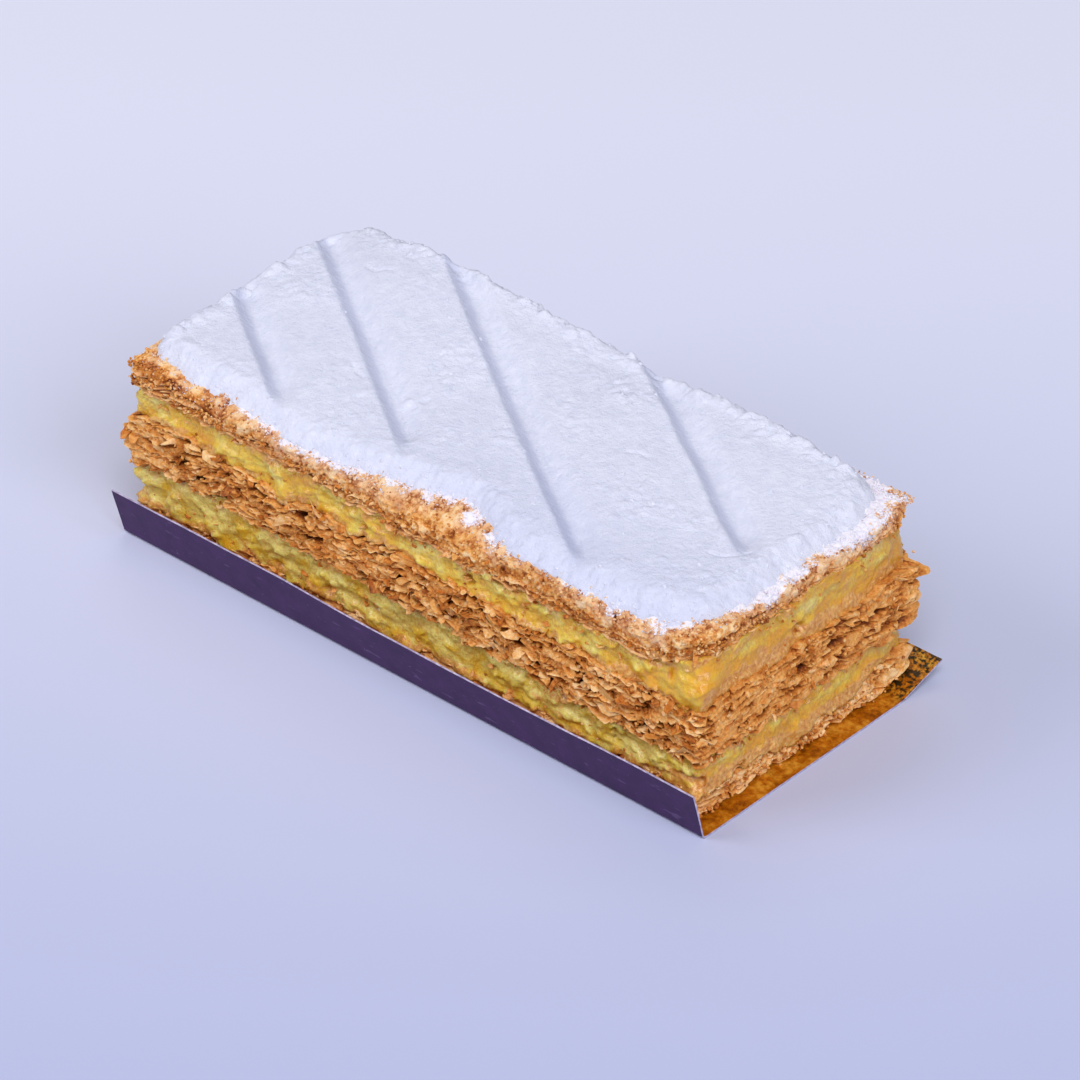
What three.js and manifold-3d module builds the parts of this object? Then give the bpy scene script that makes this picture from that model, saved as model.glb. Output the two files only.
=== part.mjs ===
// A mille feuille slice: three layers of puff pastry and two of custard under a thick coat of
// icing sugar, resting in the folded card tray that it is sold and picked up in.
//
// Units are millimetres. +X runs along the slice, +Y goes from the tray's steep flap to its
// flat flap, and +Z is up. The origin is on the table, under the middle of the whole outline.

import * as THREE from 'three';
import { mergeVertices } from 'three/addons/utils/BufferGeometryUtils.js';
import Module from 'manifold-3d';

const wasm = await Module();
wasm.setup();

// ---------------------------------------------------------------- driving dimensions

const GAP = 0.3; // left between pieces that lie on each other
const SUGAR_GAP = 0.45; // more where two differently divided surfaces meet

const TRAY = {
  length: 130,
  floorWidth: 49.9,
  card: 0.6,
  foldRadius: 0.9,
  frontFlap: { out: 2.45, up: 9.7 },
  backFlap: { out: 10.1, up: 3.1 },
};

// The block of pastry, before the layers' own overhangs, with x = 0 at the tray's middle. It
// stands back from the steep flap, rests partly on the flat one, and is flush with the tray's
// left end.
const BLOCK = { left: -65.1, right: 62.0, front: -26.0, back: 28.3 };

// Where each layer ends at the top: its height in the middle of the slice, how much it drops
// over each millimetre towards +X, half its rise from front to back, how far it lifts at the
// front right corner, how far it swells at the back left one, how deep its slow waves are,
// and how far it rounds down towards its two ends and towards its two long sides.
const LEVELS = {
  bottomCrust: {
    height: 6.6, drop: 0.010, rise: 1.0, lift: 0,
    swell: 0, wave: 0.35, ends: 0, sides: 0,
  },
  lowerCustard: {
    height: 12.5, drop: 0.024, rise: 0.3, lift: 0,
    swell: 0.2, wave: 0.45, ends: 0, sides: -0.4,
  },
  middleCrust: {
    height: 22.8, drop: 0.024, rise: 1.0, lift: 1.2,
    swell: 0.6, wave: 0.5, ends: -0.8, sides: 0,
  },
  upperCustard: {
    height: 28.9, drop: 0.018, rise: 0.9, lift: 1.2,
    swell: 1.2, wave: 0.45, ends: -1.6, sides: 1.1,
  },
  topCrust: {
    height: 34.3, drop: 0.010, rise: 1.3, lift: 1.2,
    swell: 2.7, wave: 0.3, ends: 0.9, sides: 1.4,
  },
};
const LIFT_REACH = 12; // how far from the corner the lift is felt
const SWELL_REACH = 25;
const SWELL_AT = 24; // how far the swelling's middle lies from the left end
const ROUND_REACH = 9; // how far in from an edge the rounding starts

const SUGAR = {
  thickness: 1.9,
  rim: 0.8, // thickness at its edge
  rimWidth: 4,
  inset: { left: 0.4, right: 3.4, front: 1.4, back: 0.6 },
};

// The grooves pressed into the sugar run diagonally, all along (1, -slope). Each is placed by
// where its line would cross the middle of the slice, x = 0.
const GROOVE = { slope: 0.66, radius: 1.9, depth: 1.15, runOut: 12, sides: 10, step: 4 };
const GROOVES = [
  { crossing: -43.8, from: -70, to: -35 },
  { crossing: -22.8, from: -70, to: -9 },
  { crossing: -0.3, from: -56, to: 32 },
  { crossing: 31.2, from: -8, to: 50 },
];

const DIVISIONS = { along: 24, across: 10 }; // of every layer

const COLOURS = {
  pastry: 0xc8935c,
  custard: 0xd8bd4e,
  sugar: 0xf3f3f6,
  card: 0x46305c,
};

// ---------------------------------------------------------------- uneven heights and edges

const midX = (BLOCK.left + BLOCK.right) / 2;
const midY = (BLOCK.front + BLOCK.back) / 2;
const halfDepth = (BLOCK.back - BLOCK.front) / 2;

// A slow, smooth wave between about -1 and 1, different for each seed.
function wave(x, y, seed) {
  const long = Math.sin(0.083 * x + 0.061 * y + 2.1 * seed) * Math.cos(0.047 * x - 0.11 * y + seed);
  const short = Math.sin(0.21 * x - 0.17 * y + 3.7 * seed);
  return 0.7 * long + 0.3 * short;
}

function nearness(x, y, cornerX, cornerY, reach) {
  return Math.exp(-((x - cornerX) ** 2 + (y - cornerY) ** 2) / reach ** 2);
}

// 1 on either edge, falling smoothly to 0 where the rounding starts.
function edgeNearness(place, low, high) {
  const inside = Math.min(place - low, high - place);
  return THREE.MathUtils.clamp(1 - inside / ROUND_REACH, 0, 1) ** 2;
}

// The height of the surface that a level describes, at a place in plan.
function levelHeight(level, x, y) {
  const lift = level.lift * nearness(x, y, BLOCK.right, BLOCK.front, LIFT_REACH);
  const swell = level.swell * nearness(x, y, BLOCK.left + SWELL_AT, BLOCK.back, SWELL_REACH);
  const tilt = level.rise * ((y - midY) / halfDepth) - level.drop * (x - midX);
  const endRound = edgeNearness(x, BLOCK.left, BLOCK.right);
  const sideRound = edgeNearness(y, BLOCK.front, BLOCK.back);
  const rounding = level.ends * endRound + level.sides * sideRound * (1 - endRound);
  return level.height + tilt + lift + swell - rounding + level.wave * wave(x, y, level.height);
}

// The tray's floor lies off centre, because its flaps reach out unequally.
const floorMidY = (TRAY.frontFlap.out - TRAY.backFlap.out) / 2;
const frontFoldY = floorMidY - TRAY.floorWidth / 2;
const backFoldY = floorMidY + TRAY.floorWidth / 2;

// The upper side of the tray, which carries the pastry: flat, and then up the flat flap.
function trayTop(y) {
  const slope = TRAY.backFlap.up / TRAY.backFlap.out;
  const upFlap = Math.max(0, y - backFoldY + TRAY.foldRadius) * slope;
  return TRAY.card * Math.hypot(1, slope) + upFlap;
}

// Where a layer lies in plan at a share of its length, depth and height, each from 0 to 1.
// Its corners are rounded, its edges wander by up to `ragged`, and its sides bulge.
function planPoint(along, across, share, { inset, corner, ragged, bulge, seed }) {
  const left = BLOCK.left + inset.left;
  const right = BLOCK.right - inset.right;
  const front = BLOCK.front + inset.front;
  const back = BLOCK.back - inset.back;
  const x = left + (right - left) * along;
  const y = front + (back - front) * across;
  const sideX = 2 * along - 1;
  const sideY = 2 * across - 1;
  const outward = bulge * Math.sin(Math.PI * share);
  const endWander = ragged * wave(2 * y, 4 * sideX, seed + share);
  const sideWander = ragged * wave(2 * x, 4 * sideY, seed + share + 1);
  const moveX = outward + endWander - cornerPull(y, front, back, corner);
  const moveY = outward + sideWander - cornerPull(x, left, right, corner);
  return [x + sideX ** 3 * moveX, y + sideY ** 3 * moveY];
}

// How far a rounded corner draws an end in, at a place between its two ends.
function cornerPull(place, low, high, corner) {
  const past = THREE.MathUtils.clamp(corner - Math.min(place - low, high - place), 0, corner);
  return 0.5 * (corner - Math.sqrt(corner ** 2 - past ** 2));
}

// ---------------------------------------------------------------- pieces

function named(name, geometry, material) {
  const mesh = new THREE.Mesh(geometry, material);
  mesh.name = name;
  return mesh;
}

function closed(geometry) {
  geometry.deleteAttribute('normal');
  geometry.deleteAttribute('uv');
  return mergeVertices(geometry, 1e-5);
}

// A slab between two height functions, on a divided box whose points are moved into place.
function slab(floor, ceiling, shape) {
  const box = new THREE.BoxGeometry(1, 1, 1, DIVISIONS.along, DIVISIONS.across, shape.rings);
  const geometry = closed(box);
  const points = geometry.getAttribute('position');
  for (let i = 0; i < points.count; i += 1) {
    const along = points.getX(i) + 0.5;
    const across = points.getY(i) + 0.5;
    const share = points.getZ(i) + 0.5;
    const [x, y] = planPoint(along, across, share, shape);
    const low = floor(x, y);
    points.setXYZ(i, x, y, low + (ceiling(x, y) - low) * share);
  }
  return geometry;
}

// A layer of the slice between two levels. The lowest one has no level under it, but the tray.
function layer(name, material, floorLevel, ceilingLevel, shape) {
  const floor = floorLevel
    ? (x, y) => levelHeight(floorLevel, x, y) + GAP
    : (x, y) => trayTop(y) + GAP;
  const ceiling = (x, y) => levelHeight(ceilingLevel, x, y);
  return named(name, slab(floor, ceiling, shape), material);
}

// The card tray: one strip of card, folded up steeply at the front and flatly at the back.
function cardTray(material) {
  const { frontFlap, backFlap, card, foldRadius, length } = TRAY;
  const fold = new THREE.Path();
  fold.moveTo(frontFoldY - frontFlap.out, frontFlap.up);
  fold.lineTo(frontFoldY - foldRadius * (frontFlap.out / frontFlap.up), foldRadius);
  fold.quadraticCurveTo(frontFoldY, 0, frontFoldY + foldRadius, 0);
  fold.lineTo(backFoldY - foldRadius, 0);
  fold.quadraticCurveTo(backFoldY, 0, backFoldY + foldRadius, foldRadius * (backFlap.up / backFlap.out));
  fold.lineTo(backFoldY + backFlap.out, backFlap.up);
  const under = fold.getPoints(5);
  const over = under.map((point, i) => {
    const before = under[Math.max(0, i - 1)];
    const after = under[Math.min(under.length - 1, i + 1)];
    const along = after.clone().sub(before).normalize();
    return new THREE.Vector2(point.x - along.y * card, point.y + along.x * card);
  });
  const profile = new THREE.Shape([...under, ...over.reverse()]);
  const strip = new THREE.ExtrudeGeometry(profile, { depth: length, steps: 1, bevelEnabled: false });
  // The profile is drawn in (Y, Z) and extruded along +Z, so its axes are turned to X, Y, Z.
  const turn = new THREE.Matrix4().makeBasis(
    new THREE.Vector3(0, 1, 0),
    new THREE.Vector3(0, 0, 1),
    new THREE.Vector3(1, 0, 0),
  );
  strip.applyMatrix4(turn);
  strip.translate(-length / 2, 0, 0);
  return named('card_tray', closed(strip), material);
}

const sugarFloor = (x, y) => levelHeight(LEVELS.topCrust, x, y) + SUGAR_GAP;

// How far a place is inside the sugar's edge.
function insideSugar(x, y) {
  const { inset } = SUGAR;
  return Math.min(
    x - (BLOCK.left + inset.left),
    BLOCK.right - inset.right - x,
    y - (BLOCK.front + inset.front),
    BLOCK.back - inset.back - y,
  );
}

// The sugar thins from its full depth to its rim over the last few millimetres.
function sugarTop(x, y) {
  const share = THREE.MathUtils.clamp(insideSugar(x, y) / SUGAR.rimWidth, 0, 1);
  return sugarFloor(x, y) + SUGAR.rim + (SUGAR.thickness - SUGAR.rim) * share;
}

function toSolid(geometry) {
  const vertProperties = new Float32Array(geometry.getAttribute('position').array);
  const triVerts = new Uint32Array(geometry.getIndex().array);
  return new wasm.Manifold(new wasm.Mesh({ numProp: 3, vertProperties, triVerts }));
}

function toGeometry(solid) {
  const { vertProperties, triVerts } = solid.getMesh();
  const geometry = new THREE.BufferGeometry();
  geometry.setAttribute('position', new THREE.BufferAttribute(new Float32Array(vertProperties), 3));
  geometry.setIndex(new THREE.BufferAttribute(new Uint32Array(triVerts), 1));
  return geometry;
}

// A round bar bent to lie just in the sugar's surface, rising out of it at its front end.
function grooveCutter({ crossing, from, to }) {
  const { slope, radius, depth, sides, step } = GROOVE;
  const run = to - from;
  const bar = new THREE.CylinderGeometry(radius, radius, run, sides, Math.ceil(run / step));
  const geometry = closed(bar);
  const points = geometry.getAttribute('position');
  const stretch = Math.hypot(1, slope);
  for (let i = 0; i < points.count; i += 1) {
    const axisX = (from + to) / 2 + points.getY(i);
    const axisY = crossing - slope * axisX;
    const side = points.getX(i);
    const ending = Math.min(1, (to - axisX) / GROOVE.runOut);
    const surface = sugarFloor(axisX, axisY) + SUGAR.thickness;
    const height = surface + radius - depth * ending - points.getZ(i);
    points.setXYZ(i, axisX + (side * slope) / stretch, axisY + side / stretch, height);
  }
  return toSolid(geometry);
}

function icingSugar(material) {
  const shape = { inset: SUGAR.inset, corner: 4, ragged: 0.7, seed: 9.3, rings: 1, bulge: 0 };
  let sugar = toSolid(slab(sugarFloor, sugarTop, shape));
  for (const groove of GROOVES) {
    sugar = sugar.subtract(grooveCutter(groove));
  }
  return named('sugar_top', toGeometry(sugar), material);
}

// ---------------------------------------------------------------- the slice

const pastry = new THREE.MeshStandardMaterial({ color: COLOURS.pastry, roughness: 0.85 });
const custard = new THREE.MeshStandardMaterial({ color: COLOURS.custard, roughness: 0.35 });
const sugar = new THREE.MeshStandardMaterial({ color: COLOURS.sugar, roughness: 1.0 });
const card = new THREE.MeshStandardMaterial({ color: COLOURS.card, roughness: 0.6 });

const even = (inset) => ({ left: inset, right: inset, front: inset, back: inset });

const slice = new THREE.Group();
slice.name = 'mille_feuille_slice';
slice.add(
  cardTray(card),
  layer('pastry_bottom', pastry, null, LEVELS.bottomCrust, {
    inset: even(0.5), corner: 2, ragged: 0.5, seed: 1.1, rings: 2, bulge: 0.2,
  }),
  layer('custard_lower', custard, LEVELS.bottomCrust, LEVELS.lowerCustard, {
    inset: even(1.0), corner: 2, ragged: 0.5, seed: 2.7, rings: 2, bulge: 0.4,
  }),
  layer('pastry_middle', pastry, LEVELS.lowerCustard, LEVELS.middleCrust, {
    inset: { left: -0.8, right: -1.2, front: -0.3, back: -0.6 },
    corner: 1.5, ragged: 0.7, seed: 4.2, rings: 3, bulge: 0.3,
  }),
  layer('custard_upper', custard, LEVELS.middleCrust, LEVELS.upperCustard, {
    inset: even(1.1), corner: 2, ragged: 0.6, seed: 5.9, rings: 2, bulge: 0.3,
  }),
  layer('pastry_top', pastry, LEVELS.upperCustard, LEVELS.topCrust, {
    inset: { left: 0.1, right: 0.9, front: 0.1, back: 0.2 },
    corner: 2, ragged: 0.6, seed: 7.4, rings: 2, bulge: 0.2,
  }),
  icingSugar(sugar),
);

// The slice reaches a little past the tray's left end, so the whole is moved to centre it.
const outline = new THREE.Box3().setFromObject(slice).getCenter(new THREE.Vector3());
slice.position.set(-outline.x, -outline.y, 0);

export default slice;
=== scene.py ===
"""Looks of a mille feuille slice: puff pastry, custard, icing sugar and its folded card tray."""
import math

import bpy
import numpy as np
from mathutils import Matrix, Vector
from mathutils.bvhtree import BVHTree


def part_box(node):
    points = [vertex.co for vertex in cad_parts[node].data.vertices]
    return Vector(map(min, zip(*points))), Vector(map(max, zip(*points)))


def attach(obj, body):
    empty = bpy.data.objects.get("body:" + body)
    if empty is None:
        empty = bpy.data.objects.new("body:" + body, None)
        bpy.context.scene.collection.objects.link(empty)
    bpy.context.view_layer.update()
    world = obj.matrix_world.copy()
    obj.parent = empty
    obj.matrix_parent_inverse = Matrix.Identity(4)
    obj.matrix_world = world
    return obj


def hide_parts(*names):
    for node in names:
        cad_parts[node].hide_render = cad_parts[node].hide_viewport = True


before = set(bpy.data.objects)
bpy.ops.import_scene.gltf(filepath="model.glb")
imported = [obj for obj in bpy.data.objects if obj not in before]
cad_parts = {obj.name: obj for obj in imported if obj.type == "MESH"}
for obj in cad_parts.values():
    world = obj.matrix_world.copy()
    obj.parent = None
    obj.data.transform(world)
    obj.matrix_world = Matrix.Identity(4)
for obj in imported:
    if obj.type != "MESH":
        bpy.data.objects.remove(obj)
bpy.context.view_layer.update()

# ---------------------------------------------------------------- sizes, in millimetres

MM = 0.001

# The layers from the bottom up, and where their faces stand: left, right, front, back.
FACES = {
    "pastry_bottom": (-64.3, 62.7, -25.9, 28.0),
    "custard_lower": (-64.2, 62.3, -25.7, 27.9),
    "pastry_middle": (-65.3, 63.4, -26.8, 28.7),
    "custard_upper": (-63.4, 62.0, -25.7, 27.8),
    "pastry_top": (-64.7, 61.9, -26.4, 28.4),
}
ORDER = list(FACES)
BOTTOM, LOWER, MIDDLE, UPPER, TOP = ORDER
HALF_LENGTH = 63.5
HALF_WIDTH = 27.1
CORNER = 1.7
COLUMN_STEP = 0.33
COARSER_BEHIND = 1.35
# Corners that are rounder than the others: towards which side in x and y, and their radius.
ROUNDED = {TOP: ((1, -1, 6.5), (1, 1, 7.0), (-1, -1, 3.0)), UPPER: ((1, -1, 3.0),)}
# The back left corner is missing: the direction out of the cut, and its distance from the origin.
CUT_X, CUT_Y, CUT_AT = -0.833, 0.553, 65.2

CARD = 0.6
CARD_SHOWN = 0.3
FOLD_RADIUS = 0.9
FLOOR_WIDTH = 49.9
# How far each flap reaches out and up from its fold.
FRONT_FLAP = (2.45, 9.7)
BACK_FLAP = (10.1, 3.1)
FLOOR_MID = (FRONT_FLAP[0] - BACK_FLAP[0]) / 2
FRONT_FOLD = FLOOR_MID - FLOOR_WIDTH / 2
BACK_FOLD = FLOOR_MID + FLOOR_WIDTH / 2
BACK_SLOPE = BACK_FLAP[1] / BACK_FLAP[0]

SUGAR_STEP = 0.38
SUGAR_THICK = 1.9
# How far the sugar stays back from the crust's front edge, from left to right.
MARGIN_AT = (-64, -58, -52, -44, -38, -32, -28, -24, -17, -11, -5, -1,
             4, 9, 13, 17, 22, 30, 36, 42, 50, 54, 58, 62)
MARGIN = (6.2, 4.8, 3.3, 3.4, 3.1, 2.6, 1.5, 1.4, 2.2, 3.3, 4.4, 5.0,
          6.2, 7.2, 5.8, 3.4, 2.2, 1.9, 1.6, 2.2, 2.6, 3.6, 5.6, 7.0)
GROOVE_SLOPE = 0.66
GROOVE_DEPTH = 1.9
GROOVE_WALL = 2.5
GROOVE_RUN_OUT = 7.0
# Where each groove's line crosses x = 0, and between which x it is pressed in.
GROOVES = ((-43.3, -75, -31), (-22.7, -75, -6), (0.3, -75, 36), (30.1, -30, 55))
# Lumps and dents of the coat: x, y, reach and height.
LUMPS = ((-17.3, -7.2, 1.5, 0.6), (-15.0, -5.6, 0.9, -0.45), (-44.5, 27.5, 2.2, 0.5),
         (-57.5, -19.5, 2.4, 0.55), (-8.5, -15.5, 1.8, 0.5), (-60.5, 25.0, 1.8, 0.4),
         (-24.0, -10.5, 1.2, 0.4), (4.5, 24.5, 1.6, 0.35), (40.0, -19.0, 2.0, 0.4),
         (-38.5, 25.5, 1.6, 0.45))
# Hairline cracks: through which points they run.
CRACKS = (((-49.0, 16.2), (-46.6, 15.6), (-45.4, 17.2), (-43.6, 17.9)),
          ((48.6, -8.0), (50.4, -7.8), (52.2, -6.2), (52.9, -3.4)),
          ((-30.5, -6.0), (-29.0, -7.2), (-27.0, -7.4)),
          ((20.5, 4.5), (22.6, 5.5), (24.0, 5.2)))
# Where more or less sugar lies on the crust: x, y, reach and how much.
DUSTY = ((-60, -22, 9, -0.4), (-48, -26, 8, -0.35), (-16, -25, 9, 0.24), (2, -22, 6, 0.12),
         (10.5, -23.2, 2.0, 0.6), (30, -26, 12, -0.26), (52, -26, 7, 0.1), (61, -4, 9, 0.36),
         (61, 17, 10, 0.72), (62, -10, 3, 0.5))
# Gaps between leaves of the top layer: x, y, reach, share of its height and how deep.
CRUST_GAPS = ((63.5, -19, 7, 0.52, 1.0), (-53, -27, 5.5, 0.52, 0.85), (-50, -27, 4.5, 0.2, 0.9),
              (-24.5, -27, 4, 0.12, 1.0), (-2.5, -27, 4, 0.08, 0.9), (23.5, -27, 4, 0.14, 0.9),
              (37, -27, 4, 0.1, 0.9), (-32, -27, 1.6, 0.5, 0.8), (-58, -27, 3, 0.3, 0.8),
              (63.5, 2, 5, 0.1, 0.8))

# ---------------------------------------------------------------- noise

MASK = 0xFFFFFFFF
# Large odd numbers that mix a cell and a seed into a hash.
MIX_CELL = np.array([374761393, 668265263, 1442695041])
MIX_SEED, MIX_FIRST, MIX_LAST = 974634777, 1274126177, 1103515245
OTHER_SEED = 7919
CUBE = np.array([(i, j, k) for i in (0, 1) for j in (0, 1) for k in (0, 1)])
AROUND = np.array([(i, j, k) for i in (-1, 0, 1) for j in (-1, 0, 1) for k in (-1, 0, 1)])
FAR = 9.0
NOISE_GAIN, FBM_GAIN = 1.8, 0.75
OCTAVE_SHIFT, OCTAVE_SEED = 17.3, 31
UP = np.array([0.0, 0.0, 1.0])


def xyz(x, y, z):
    """Points from their coordinates, of which some may be single numbers."""
    return np.stack(np.broadcast_arrays(x, y, z), 1)


def lattice(cells, seed):
    """A number from 0 to 1 for every lattice cell, the same each time for a seed."""
    mixed = ((cells * MIX_CELL).sum(1) + seed * MIX_SEED) & MASK
    mixed = ((mixed ^ (mixed >> 15)) * MIX_FIRST) & MASK
    mixed = ((mixed ^ (mixed >> 13)) * MIX_LAST) & MASK
    return (mixed ^ (mixed >> 16)) / (MASK + 1.0)


def noise(points, seed):
    """Smooth noise between about -1 and 1, for points measured in its cells."""
    base = np.floor(points).astype(np.int64)
    part = points - base
    ease = part ** 3 * (part * (part * 6 - 15) + 10)
    total = np.zeros(len(points))
    for corner in CUBE:
        turn = lattice(base + corner, seed) * 2 * np.pi
        rise = lattice(base + corner, seed + OTHER_SEED) * 2 - 1
        flat = np.sqrt(1 - rise * rise)
        away = part - corner
        slope = flat * (away[:, 0] * np.cos(turn) + away[:, 1] * np.sin(turn)) + away[:, 2] * rise
        total += slope * np.where(corner == 1, ease, 1 - ease).prod(1)
    return total * NOISE_GAIN


def fbm(points, size, seed, octaves=3):
    """Noise of several sizes together, the largest of them `size` millimetres."""
    scaled = points / np.asarray(size, float)
    total = np.zeros(len(points))
    for octave in range(octaves):
        finer = scaled * 2 ** octave + OCTAVE_SHIFT * octave
        total += noise(finer, seed + OCTAVE_SEED * octave) * 0.5 ** octave
    return total * FBM_GAIN


def scattered(points, size, seed):
    """Distance to the nearest of points strewn one to a cell, and that point's own number."""
    scaled = points / np.asarray(size, float)
    base = np.floor(scaled).astype(np.int64)
    near = np.full(len(points), FAR)
    number = np.zeros(len(points))
    for step in AROUND:
        cell = base + step
        spot = cell + np.stack([lattice(cell, seed + k) for k in (1, 2, 3)], 1)
        gap = np.linalg.norm(scaled - spot, axis=1)
        number = np.where(gap < near, lattice(cell, seed + 4), number)
        near = np.minimum(near, gap)
    return near, number


def step_up(value, low, high):
    """0 below low, 1 above high, and a smooth rise between them."""
    share = np.clip((value - low) / (high - low), 0, 1)
    return share * share * (3 - 2 * share)


def dome(distance, radius):
    """A round dome over a point: 1 above it, 0 from the radius on."""
    return np.sqrt(np.clip(1 - (distance / radius) ** 2, 0, 1))


def domes(points, size, seed, radius=0.85):
    """Domes strewn one to a cell, and the number of the nearest."""
    near, number = scattered(points, size, seed)
    return dome(near, radius), number


def bell(x, y, at_x, at_y, reach):
    """1 at a place, falling smoothly to 0 round it."""
    return np.exp(-((x - at_x) ** 2 + (y - at_y) ** 2) / reach ** 2)


# ---------------------------------------------------------------- levels, read from the CAD

# The grid on which levels are measured, a little larger than the slice.
STEP_X, STEP_Y = 2.5, 2.0
LEVEL_X = np.arange(-70.0, 71.0, STEP_X)
LEVEL_Y = np.arange(-34.0, 35.0, STEP_Y)
RAY_FROM = 0.1
DOWN = Vector((0, 0, -1))
BESIDE = ((-1, 0), (1, 0), (0, -1), (0, 1))
tray_low, tray_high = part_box("card_tray")
TRAY_MID = (tray_low.x + tray_high.x) / 2 / MM


def tray_top(x, y):
    """Height of the tray's upper side: flat, and then up the flat flap."""
    return CARD * math.hypot(1, BACK_SLOPE) + np.maximum(0, y - BACK_FOLD + FOLD_RADIUS) * BACK_SLOPE


def shifted(wide, step):
    """A padded grid without its padding, moved by a step."""
    a, b = step
    return wide[1 + a: wide.shape[0] - 1 + a, 1 + b: wide.shape[1] - 1 + b]


def measured_level(node):
    """A grid of the heights of a CAD node's upper side, with no value beyond its outline."""
    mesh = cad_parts[node].data
    tree = BVHTree.FromPolygons([vertex.co for vertex in mesh.vertices],
                                [tuple(polygon.vertices) for polygon in mesh.polygons])
    grid = np.full((len(LEVEL_X), len(LEVEL_Y)), np.nan)
    for i, x in enumerate(LEVEL_X):
        for j, y in enumerate(LEVEL_Y):
            hit = tree.ray_cast(Vector((x * MM, y * MM, RAY_FROM)), DOWN)[0]
            if hit is not None:
                grid[i, j] = hit.z / MM
    return grid


def level_of(node):
    """A function for the height of a CAD node's upper side, carried on smoothly beyond it."""
    grid = measured_level(node)
    while np.isnan(grid).any():
        wide = np.pad(grid, 1, constant_values=np.nan)
        beside = np.stack([shifted(wide, step) for step in BESIDE])
        known = ~np.isnan(beside)
        filled = np.where(known, beside, 0).sum(0) / np.maximum(known.sum(0), 1)
        grid = np.where(np.isnan(grid) & known.any(0), filled, grid)
    for _ in range(2):
        wide = np.pad(grid, 1, mode="edge")
        grid = (sum(shifted(wide, step) for step in BESIDE) + 4 * grid) / 8

    def height(x, y):
        across = np.clip((x - LEVEL_X[0]) / STEP_X, 0, len(LEVEL_X) - 1.001)
        along = np.clip((y - LEVEL_Y[0]) / STEP_Y, 0, len(LEVEL_Y) - 1.001)
        i = across.astype(int)
        j = along.astype(int)
        a = across - i
        b = along - j
        low = grid[i, j] * (1 - b) + grid[i, j + 1] * b
        high = grid[i + 1, j] * (1 - b) + grid[i + 1, j + 1] * b
        return low * (1 - a) + high * a

    return height


LEVELS = [tray_top] + [level_of(node) for node in FACES]


def boundary(number, x, y):
    """Height where a layer begins (5: where the top one ends), with the waves seen at the sides."""
    if number == 0:
        return LEVELS[0](x, y)
    place = xyz(x, y, 40.0 * number)
    waves = 0.9 * fbm(place, 8.0, 60 + number) + 0.7 * fbm(place, 2.6, 80 + number, 2)
    if number == ORDER.index(TOP):
        # The crust hangs over the custard in front, and stands clear of it at the right end.
        in_front = step_up(-y, 20, 25) * step_up(x, -34, -20) * step_up(-x, -58, -52)
        waves += 0.8 * step_up(x, 54, 60) - 0.7 * in_front
    return LEVELS[number](x, y) + waves


def height_in(name, x, y, share):
    """Height at a share of the way up the side of a layer."""
    number = ORDER.index(name)
    low = boundary(number, x, y)
    return low + (boundary(number + 1, x, y) - low) * share


# ---------------------------------------------------------------- the outline of a layer

def make_outline():
    """Points round the slice, counterclockwise from above, and how they face.

    u and v are shares of the half length and half width. The weights say how much a point
    belongs to the right, back, left and front side.
    """
    straight = np.array([HALF_LENGTH - CORNER, HALF_WIDTH - CORNER])
    path = []
    for side_x, side_y, start in ((1, -1, -90), (1, 1, 0), (-1, 1, 90), (-1, -1, 180)):
        for turn in np.radians(np.arange(start, start + 91, 10)):
            path.append(straight * (side_x, side_y) + CORNER * np.array([np.cos(turn), np.sin(turn)]))
    path = np.array(path + path[:1])
    pieces = np.diff(path, axis=0)
    behind = (pieces < -1e-6).any(1)
    run = np.linalg.norm(pieces, axis=1) / np.where(behind, COARSER_BEHIND, 1.0)
    run = np.concatenate([[0], np.cumsum(run)])
    count = int(run[-1] / COLUMN_STEP)
    wanted = np.arange(count) * run[-1] / count
    x, y = (np.interp(wanted, run, path[:, axis]) for axis in (0, 1))
    along_x, along_y = (np.roll(values, -1) - np.roll(values, 1) for values in (x, y))
    length = np.hypot(along_x, along_y)
    out_x = along_y / length
    out_y = -along_x / length
    weights = [np.clip(w, 0, 1) ** 2 for w in (out_x, out_y, -out_x, -out_y)]
    return x / HALF_LENGTH, y / HALF_WIDTH, np.stack([out_x, out_y], 1), weights


U, V, OUTWARD, (RIGHT, BACK, LEFT, FRONT) = make_outline()
COLUMNS = len(U)


def by_side(front, right, back, left):
    """A value for every column of the outline, mixed from one for each side."""
    return front * FRONT + right * RIGHT + back * BACK + left * LEFT


def near_corner(back, reach):
    """How near each column is to the right end's front corner (-1) or back corner (1)."""
    return bell(U * HALF_LENGTH, V * HALF_WIDTH, HALF_LENGTH, back * HALF_WIDTH, reach)


def corner_cut(x, y):
    """How far a place lies beyond the line that cuts off the back left corner."""
    return CUT_X * x + CUT_Y * y - CUT_AT


def face_point(name, depth):
    """x and y of the outline's columns, `depth` millimetres inside a layer's faces."""
    left, right, front, back = FACES[name]
    x = (left + right) / 2 + ((right - left) / 2 - depth) * U
    y = (front + back) / 2 + ((back - front) / 2 - depth) * V
    over = np.maximum(corner_cut(x, y) + depth, 0)
    x = x - CUT_X * over
    y = y - CUT_Y * over
    for side_x, side_y, radius in ROUNDED.get(name, ()):
        past_x = radius + side_x * (x - (right if side_x > 0 else left))
        past_y = radius + side_y * (y - (back if side_y > 0 else front))
        past = np.maximum(np.hypot(past_x, past_y), 0.01)
        inside = (past_x > 0) & (past_y > 0)
        drawn = np.where(inside, np.minimum((radius - depth) / past, 1) - 1, 0)
        x = x + side_x * past_x * drawn
        y = y + side_y * past_y * drawn
    return x, y


# ---------------------------------------------------------------- meshes

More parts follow.
